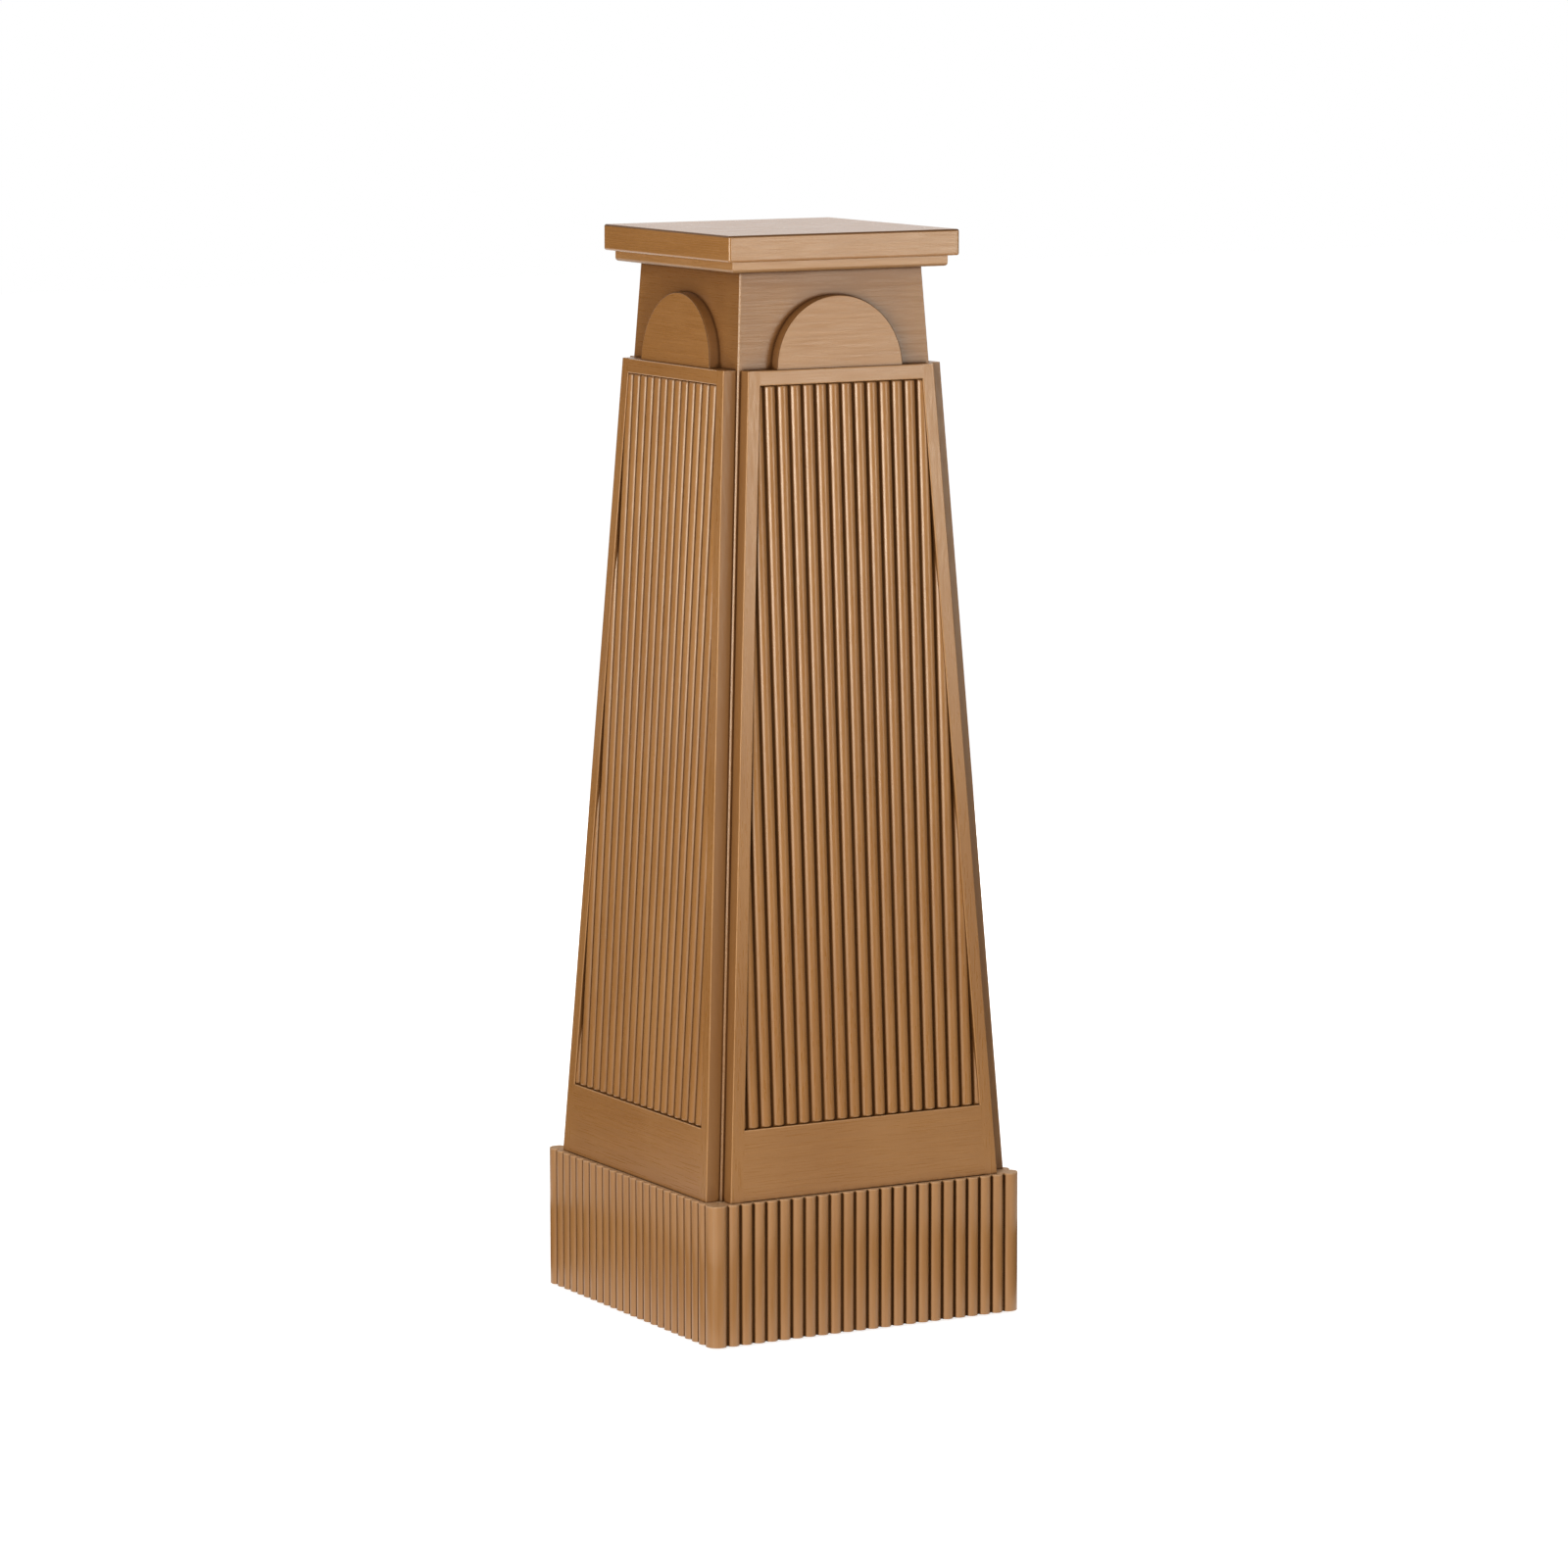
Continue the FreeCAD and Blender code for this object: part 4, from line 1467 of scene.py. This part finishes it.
@dataclass
class ReededPlinth:
    """Four reeded boards, mitred at rounded corners."""

    row: ReedRow
    shape: ReedShape
    finish: Finish
    corner_radius: float = 11.5 * MM
    seam: float = 0.05 * MM
    waver: float = 0.06 * MM
    arc_steps: int = 8
    lip: float = 1.8 * MM
    mitre_rub: float = 0.3
    weld_reach: float = 0.01 * MM
    first_seed: int = 11

    def build(self) -> None:
        """Make the four boards."""
        low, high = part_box("plinth_board_front")
        outer, inner = -low.y, -high.y
        reeds = 2 * math.floor((outer - self.corner_radius) / self.shape.pitch)
        row_half = reeds * self.shape.pitch / 2
        plan = self._corner_plan(outer, inner, row_half)
        # The point at the mitre gets a faint painted highlight.
        marks = {"groove": [sunk for _, _, sunk in plan],
                 "rub": [self.mitre_rub if index == len(plan) - 3 else 0.0
                         for index in range(len(plan))]}
        for side in Side:
            board = self.row.make(Reeds=reeds, Back=outer - inner, Length=high.z - low.z,
                                  Waver=self.waver, Material=self.finish,
                                  Seed=list(Side).index(side) + self.first_seed,
                                  **self.shape.inputs())
            board.transform(Matrix.Translation((0.0, -outer, low.z)))
            for sign in (-1, 1):
                add_block(board, [[Vector((sign * x, y, height)) for x, y, _ in plan]
                                  for height in (low.z, high.z)], marks)
            self._weld(board, row_half)
            self._wear_lip(board, high.z)
            board.transform(side.turn)
            hand_over(f"plinth_reeds_{side.label}", plain_mesh(board, sharp=50.0),
                      self.finish, [f"plinth_board_{side.label}"])

    def _wear_lip(self, board: Solid, top: float) -> None:
        """Mark the top, and a narrow lip below it, as a painted highlight clear of glaze.

        Args:
            board: The board, at the front.
            top: Height of its top.
        """
        cut(board, Vector((0, 0, top - self.lip)), Vector((0, 0, 1)))
        rub, groove = mark_layer(board, "rub"), mark_layer(board, "groove")
        for vertex in board.verts:
            if vertex.co.z > top - self.lip / 2:
                vertex[rub] = 1.0
                vertex[groove] = 0.0

    def _corner_plan(self, outer: float, inner: float, row_half: float) -> Plan:
        """The right corner's outline, each point with how deep in a groove it is.

        Args:
            outer: How far the reeds' crests are from the axis.
            inner: How far the board's back is from the axis.
            row_half: Half the length of the row of reeds.

        Returns:
            The outline's points.
        """
        floor = outer - self.shape.groove_depth
        bead_start = row_half + self.shape.groove_width / 2
        centre = outer - self.corner_radius
        plan: Plan = [(row_half, -floor, 1.0), (bead_start, -floor, 1.0)]
        for step in range(self.arc_steps):
            angle = self.shape.spread * (1 - step / self.arc_steps)
            fall = self.shape.radius * (1 - math.cos(angle))
            plan.append((bead_start + self.shape.half_width - self.shape.radius * math.sin(angle),
                         -(outer - fall), fall / self.shape.edge_fall))
        for step in range(self.arc_steps + 1):
            angle = math.pi / 4 * step / self.arc_steps
            seam = self.seam if step == self.arc_steps else 0.0
            plan.append((centre + self.corner_radius * math.sin(angle) - seam,
                         -(centre + self.corner_radius * math.cos(angle)), 0.0))
        plan.append((inner - self.seam, -inner, 0.0))
        plan.append((row_half, -inner, 0.0))
        return plan

    def _weld(self, board: Solid, row_half: float) -> None:
        """Join the corners to the reeds and take out the walls between them.

        Args:
            board: The board, at the front.
            row_half: Half the length of the row of reeds.
        """
        bmesh.ops.remove_doubles(board, verts=board.verts, dist=self.weld_reach)
        inside = [face for face in board.faces
                  if all(abs(abs(vertex.co.x) - row_half) < 2 * self.weld_reach
                         for vertex in face.verts)
                  and len({vertex.co.x > 0 for vertex in face.verts}) == 1]
        bmesh.ops.delete(board, geom=inside, context="FACES_ONLY")
        bmesh.ops.recalc_face_normals(board, faces=board.faces)


# ---- Fittings under the plinth

class CornerSet:
    """Four alike turned fittings at the corners of a square, made by geometry nodes."""

    DISC_FACETS = 48
    SHANK_FACETS = 24
    WELD_REACH = 0.005 * MM

    def __init__(self, name: str) -> None:
        """Build the tree that turns a stack of discs and sets out four of them.

        Args:
            name: The tree's name.
        """
        board = GeometryBoard(name)
        self.board = board
        (offset, base, disc_radius, disc_height, edge, shank_radius, shank_length,
         recess_width, recess_length, recess_depth, material) = board.inputs(
            Offset="Float", Height="Float", Disc_Radius="Float", Disc_Height="Float",
            Edge="Float", Shank_Radius="Float", Shank_Length="Float", Recess_Width="Float",
            Recess_Length="Float", Recess_Depth="Float", Material="Material")
        bevelled = self._stack(board, self.DISC_FACETS, [
            (board.maths("SUBTRACT", disc_radius, edge), 0.0),
            (board.maths("MULTIPLY_ADD", edge, -0.3, disc_radius),
             board.maths("MULTIPLY", edge, 0.3)),
            (disc_radius, edge),
            (disc_radius, disc_height),
        ])
        shank = board.node("GeometryNodeMeshCylinder", {
            "Vertices": self.SHANK_FACETS, "Radius": shank_radius, "Depth": shank_length})
        lifted = board.moved(shank.outputs[0],
                             Z=board.maths("MULTIPLY_ADD", shank_length, 0.5, disc_height))
        recess = board.node("GeometryNodeMeshBoolean", {"Mesh 1": bevelled},
                            operation="DIFFERENCE", solver="EXACT")
        double_depth = board.maths("MULTIPLY", recess_depth, 2.0)
        for arm_size in (
            board.vector(X=recess_length, Y=recess_width, Z=double_depth),
            board.vector(X=recess_width, Y=recess_length, Z=double_depth),
        ):
            arm = board.node("GeometryNodeMeshCube", {"Size": arm_size})
            board.tree.links.new(arm.outputs[0], recess.inputs["Mesh 2"])
        whole = board.joined([recess.outputs[0], lifted])

        spread = board.maths("MULTIPLY", offset, 2.0)
        grid = board.node("GeometryNodeMeshGrid", {
            "Size X": spread, "Size Y": spread, "Vertices X": 2, "Vertices Y": 2})
        placed = board.node("GeometryNodeInstanceOnPoints", {
            "Points": grid.outputs[0], "Instance": whole})
        board.finish(board.moved(placed.outputs[0], Z=base), material)

    def _stack(self, board: GeometryBoard, facets: int,
               levels: Sequence[tuple[object, object]]) -> Socket:
        """Turn a closed solid through circles of given radius and height.

        Args:
            board: The tree.
            facets: Sides of each circle.
            levels: Radius and height of each circle, from the bottom up.

        Returns:
            The solid.
        """
        parts = []
        for (low_radius, low), (high_radius, high) in zip(levels, levels[1:]):
            height = board.maths("SUBTRACT", high, low)
            cone = board.node("GeometryNodeMeshCone", {
                "Vertices": facets, "Radius Top": high_radius, "Radius Bottom": low_radius,
                "Depth": height}, fill_type="NONE")
            parts.append(board.moved(cone.outputs[0], Z=low))
        for (radius, height), flip in ((levels[0], True), (levels[-1], False)):
            disc = board.node("GeometryNodeMeshCircle", {
                "Vertices": facets, "Radius": radius}, fill_type="NGON").outputs[0]
            disc = board.moved(disc, Z=height)
            if flip:
                disc = board.node("GeometryNodeFlipFaces", {"Mesh": disc}).outputs[0]
            parts.append(disc)
        return board.node("GeometryNodeMergeByDistance", {
            "Geometry": board.joined(parts), "Distance": self.WELD_REACH}).outputs[0]


@dataclass
class BaseFittings:
    """The four floor glides and the four screws of the base."""

    glide_finish: Finish
    screw_finish: Finish
    glide_edge: float = 0.9 * MM
    glide_dimple: float = 0.4 * MM
    screw_edge: float = 0.7 * MM
    screw_head_radius: float = 4.0 * MM
    screw_head_height: float = 1.8 * MM
    screw_shank_radius: float = 1.9 * MM
    drive_width: float = 0.9 * MM
    drive_length: float = 4.4 * MM
    drive_depth: float = 1.1 * MM
    glide_radius: float = 10.0 * MM
    glide_stub: float = 0.02 * MM
    sharp: float = 35.0

    def build(self) -> None:
        """Make both sets."""
        fitting = CornerSet("Corner fittings")
        low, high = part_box("glides")
        inner = self.glide_radius / 2
        self._set_out(fitting, "glides", "floor_glides", self.glide_finish, "glide_plastic",
                      Disc_Radius=self.glide_radius, Disc_Height=high.z - low.z,
                      Edge=self.glide_edge, Shank_Radius=inner, Shank_Length=self.glide_stub,
                      Recess_Width=inner, Recess_Length=inner, Recess_Depth=self.glide_dimple)
        low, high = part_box("base_screws")
        self._set_out(fitting, "base_screws", "cross_head_screws", self.screw_finish,
                      "screw_steel", Disc_Radius=self.screw_head_radius,
                      Disc_Height=self.screw_head_height, Edge=self.screw_edge,
                      Shank_Radius=self.screw_shank_radius,
                      Shank_Length=high.z - low.z - self.screw_head_height,
                      Recess_Width=self.drive_width, Recess_Length=self.drive_length,
                      Recess_Depth=self.drive_depth)

    def _set_out(self, fitting: CornerSet, node: str, name: str, finish: Finish,
                 slot: str, **sizes: float) -> None:
        """Make a set of four and put it in place of its node.

        Args:
            fitting: The tree that makes it.
            node: The node that it stands for.
            name: The set's name.
            finish: Its finish.
            slot: Not used.
            **sizes: The tree's inputs for one fitting, with underscores for spaces.
        """
        low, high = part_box(node)
        made = fitting.board.run(Offset=high.x - sizes["Disc_Radius"], Height=low.z,
                                 Material=finish, **sizes)
        made.shade_smooth()
        made.set_sharp_from_angle(angle=math.radians(self.sharp))
        hand_over(name, made, finish, [node])


# ---- Pieces inside, floor, light and camera

class InnerPieces:
    """The plates, blocks, cleats and tenons inside, which keep their solids."""

    PREFIXES = ("shaft_head_plate", "shaft_foot_plate", "shaft_cleat", "plinth_block",
                "plinth_deck", "plinth_base", "top_tenons", "deck_tenons")

    def __init__(self, nodes: dict[str, bpy.types.Object], finish: Finish) -> None:
        """Keep the frame's nodes and the finish."""
        self.nodes = nodes
        self.finish = finish

    def build(self) -> None:
        """Give each inner piece its finish."""
        for name, node in self.nodes.items():
            if not name.startswith(self.PREFIXES):
                continue
            if not node.material_slots:
                node.data.materials.append(self.finish)
            for slot in node.material_slots:
                slot.material = self.finish
            LOG.info("%s: solid kept, finish only", name)


def studio_piece(name: str, points: Sequence[Sequence[float]], faces: Sequence[Sequence[int]],
                 material: Finish) -> bpy.types.Object:
    """Put a plain piece of the studio in the scene.

    Args:
        name: The piece's name.
        points: Its corners.
        faces: Each face's corners, by number.
        material: Its material.

    Returns:
        The piece.
    """
    mesh = bpy.data.meshes.new(name)
    mesh.from_pydata(points, [], faces)
    mesh.materials.append(material)
    return into_scene(name, mesh)


@dataclass
class SoftBox:
    """A lamp that shines from a large flat square."""

    name: str
    azimuth: float
    distance: float
    height: float
    width: float
    tall: float
    power: float
    tint: Colour = (1.0, 0.955, 0.89)
    aim: float = 0.55
    in_gloss: bool = True

    def build(self) -> None:
        """Make the lamp. Azimuth 0 is in front and grows towards +X."""
        angle = math.radians(self.azimuth)
        place = Vector((math.sin(angle) * self.distance, -math.cos(angle) * self.distance,
                        self.height))
        data = bpy.data.lights.new(self.name, "AREA")
        data.shape = "RECTANGLE"
        data.size, data.size_y = self.width, self.tall
        data.energy = self.power
        data.color = self.tint
        lamp = into_scene(self.name, data)
        lamp.visible_glossy = self.in_gloss
        lamp.location = place
        lamp.rotation_euler = (Vector((0.0, 0.0, self.aim)) - place).to_track_quat(
            "-Z", "Y").to_euler()


@dataclass
class Curtain:
    """A dark curtain round part of the stand, seen in gloss only, so sheen stays local."""

    name: str
    radius: float
    height: float
    first: float = -180.0
    last: float = 180.0
    steps: int = 24
    lift: float = 0.001
    grey: float = 0.03

    def build(self) -> None:
        """Hang the curtain between its two azimuths."""
        points = []
        first, last = math.radians(self.first), math.radians(self.last)
        for step in range(self.steps + 1):
            angle = first + (last - first) * step / self.steps
            for level in (self.lift, self.height):
                points.append((math.sin(angle) * self.radius, -math.cos(angle) * self.radius,
                               level))
        faces = [(2 * step, 2 * step + 2, 2 * step + 3, 2 * step + 1)
                 for step in range(self.steps)]
        board = NodeBoard.for_material(self.name)
        curtain = studio_piece(self.name, points, faces, board.close(board.matt(self.grey)))
        curtain.visible_camera = False
        curtain.visible_diffuse = False
        curtain.visible_shadow = False
        curtain.visible_transmission = False


@dataclass
class Studio:
    """A plain white room: floor, soft light and camera."""

    floor_size: float = 30.0
    floor_grey: float = 0.7
    floor_glow: float = 0.80
    fill_level: float = 0.34
    camera_place: tuple[float, float, float] = (-3.05444, -5.43863, 1.39834)
    camera_yaw: float = 0.5122
    camera_pitch: float = -0.1402
    camera_roll: float = -0.0011
    lens: float = 146.57
    sensor: float = 36.0

    def build(self) -> None:
        """Make the floor, the world, the lamps and the camera."""
        self._floor()
        self._world()
        self._lamps()
        self._curtains()
        self._camera()

    @staticmethod
    def _lamps() -> None:
        """Light the two sides in view, then the far sides and the top without gloss."""
        SoftBox("left_bank", azimuth=-52.0, distance=3.2, height=1.08, width=1.7, tall=1.2,
                power=76.0, aim=0.8).build()
        SoftBox("front_right_bank", azimuth=29.0, distance=3.6, height=0.95, width=1.4,
                tall=0.5, power=15.0, aim=1.0).build()
        SoftBox("far_bank", azimuth=135.0, distance=3.4, height=1.2, width=2.0, tall=1.4,
                power=72.0, aim=0.7, in_gloss=False).build()
        SoftBox("overhead_bank", azimuth=150.0, distance=0.6, height=3.2, width=1.6, tall=1.6,
                power=20.0, aim=0.9, in_gloss=False).build()

    @staticmethod
    def _curtains() -> None:
        """Keep the white surround out of the gloss of the upright faces."""
        Curtain("left_curtain", radius=4.6, height=2.2, first=-175.0, last=-5.0).build()
        Curtain("right_curtain", radius=4.6, height=1.3, first=-5.0, last=110.0).build()
        Curtain("back_curtain", radius=4.6, height=0.95, first=110.0, last=185.0).build()
        Curtain("studio_skirt", radius=0.8, height=0.45).build()
        Curtain("plinth_skirt", radius=0.30, height=0.07).build()

    def _floor(self) -> None:
        """Make a plain pale floor that keeps a faint shadow."""
        board = NodeBoard.for_material("studio_floor")
        glow = board.node("ShaderNodeEmission")
        board.feed(glow.inputs["Strength"],
                   board.maths("MULTIPLY", board.seen_directly(), self.floor_glow))
        both = board.node("ShaderNodeAddShader")
        board.feed(both.inputs[0], board.matt(self.floor_grey))
        board.feed(both.inputs[1], glow.outputs[0])
        half = self.floor_size / 2
        floor = studio_piece("studio_floor", square_ring(half, 0.0), [(0, 1, 2, 3)],
                             board.close(both.outputs[0]))

    def _world(self) -> None:
        """Make a white surround that lights the stand at a plain level."""
        world = bpy.data.worlds.new("studio_world")
        board = NodeBoard(world)
        sky = board.node("ShaderNodeBackground")
        sky.inputs["Color"].default_value = (1.0, 1.0, 1.0, 1.0)
        board.feed(sky.inputs["Strength"], board.span(
            board.seen_directly(), 0.0, 1.0, self.fill_level, 1.0, smooth=False))
        board.close(sky.outputs[0], "ShaderNodeOutputWorld")
        bpy.context.scene.world = world

    def _camera(self) -> None:
        """Make the camera at the photograph's viewing angle."""
        yaw, pitch, roll = self.camera_yaw, self.camera_pitch, self.camera_roll
        forward = Vector((math.sin(yaw) * math.cos(pitch), math.cos(yaw) * math.cos(pitch),
                          math.sin(pitch)))
        level = Vector((math.cos(yaw), -math.sin(yaw), 0.0))
        upright = level.cross(forward)
        right = level * math.cos(roll) + upright * math.sin(roll)
        up = upright * math.cos(roll) - level * math.sin(roll)
        data = bpy.data.cameras.new("photo_camera")
        data.sensor_width = self.sensor
        data.lens = self.lens
        camera = into_scene("photo_camera", data)
        axes = Matrix((right, up, -forward)).transposed().to_4x4()
        camera.matrix_world = Matrix.Translation(self.camera_place) @ axes
        bpy.context.scene.camera = camera


# ---- The whole stand

def main() -> None:
    """Load the frame and build every sub-assembly in order."""
    logging.basicConfig(level=logging.INFO, format="%(name)s: %(message)s")
    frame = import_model()
    bpy.context.scene.view_settings.view_transform = "Standard"

    sizes = StandSizes.from_frame()
    finishes = Finishes()
    SteppedTop(finishes.top, finishes.cap).build()
    Shaft(sizes, finishes.shaft).build()
    row = ReedRow()
    shape = ReedShape()
    applied_frame = AppliedFrame(sizes, finishes.stile, finishes.rail)
    arch = ArchPlate(sizes, finishes.arch)
    panel = ReededPanel(sizes, row, shape, finishes.reeds)
    for side in Side:
        applied_frame.build(side)
        arch.build(side)
        panel.build(side)
    ReededPlinth(row, shape, finishes.plinth).build()
    BaseFittings(finishes.plastic, finishes.steel).build()
    InnerPieces(frame["nodes"], finishes.bare).build()
    Studio().build()


if __name__ == "__main__":
    main()
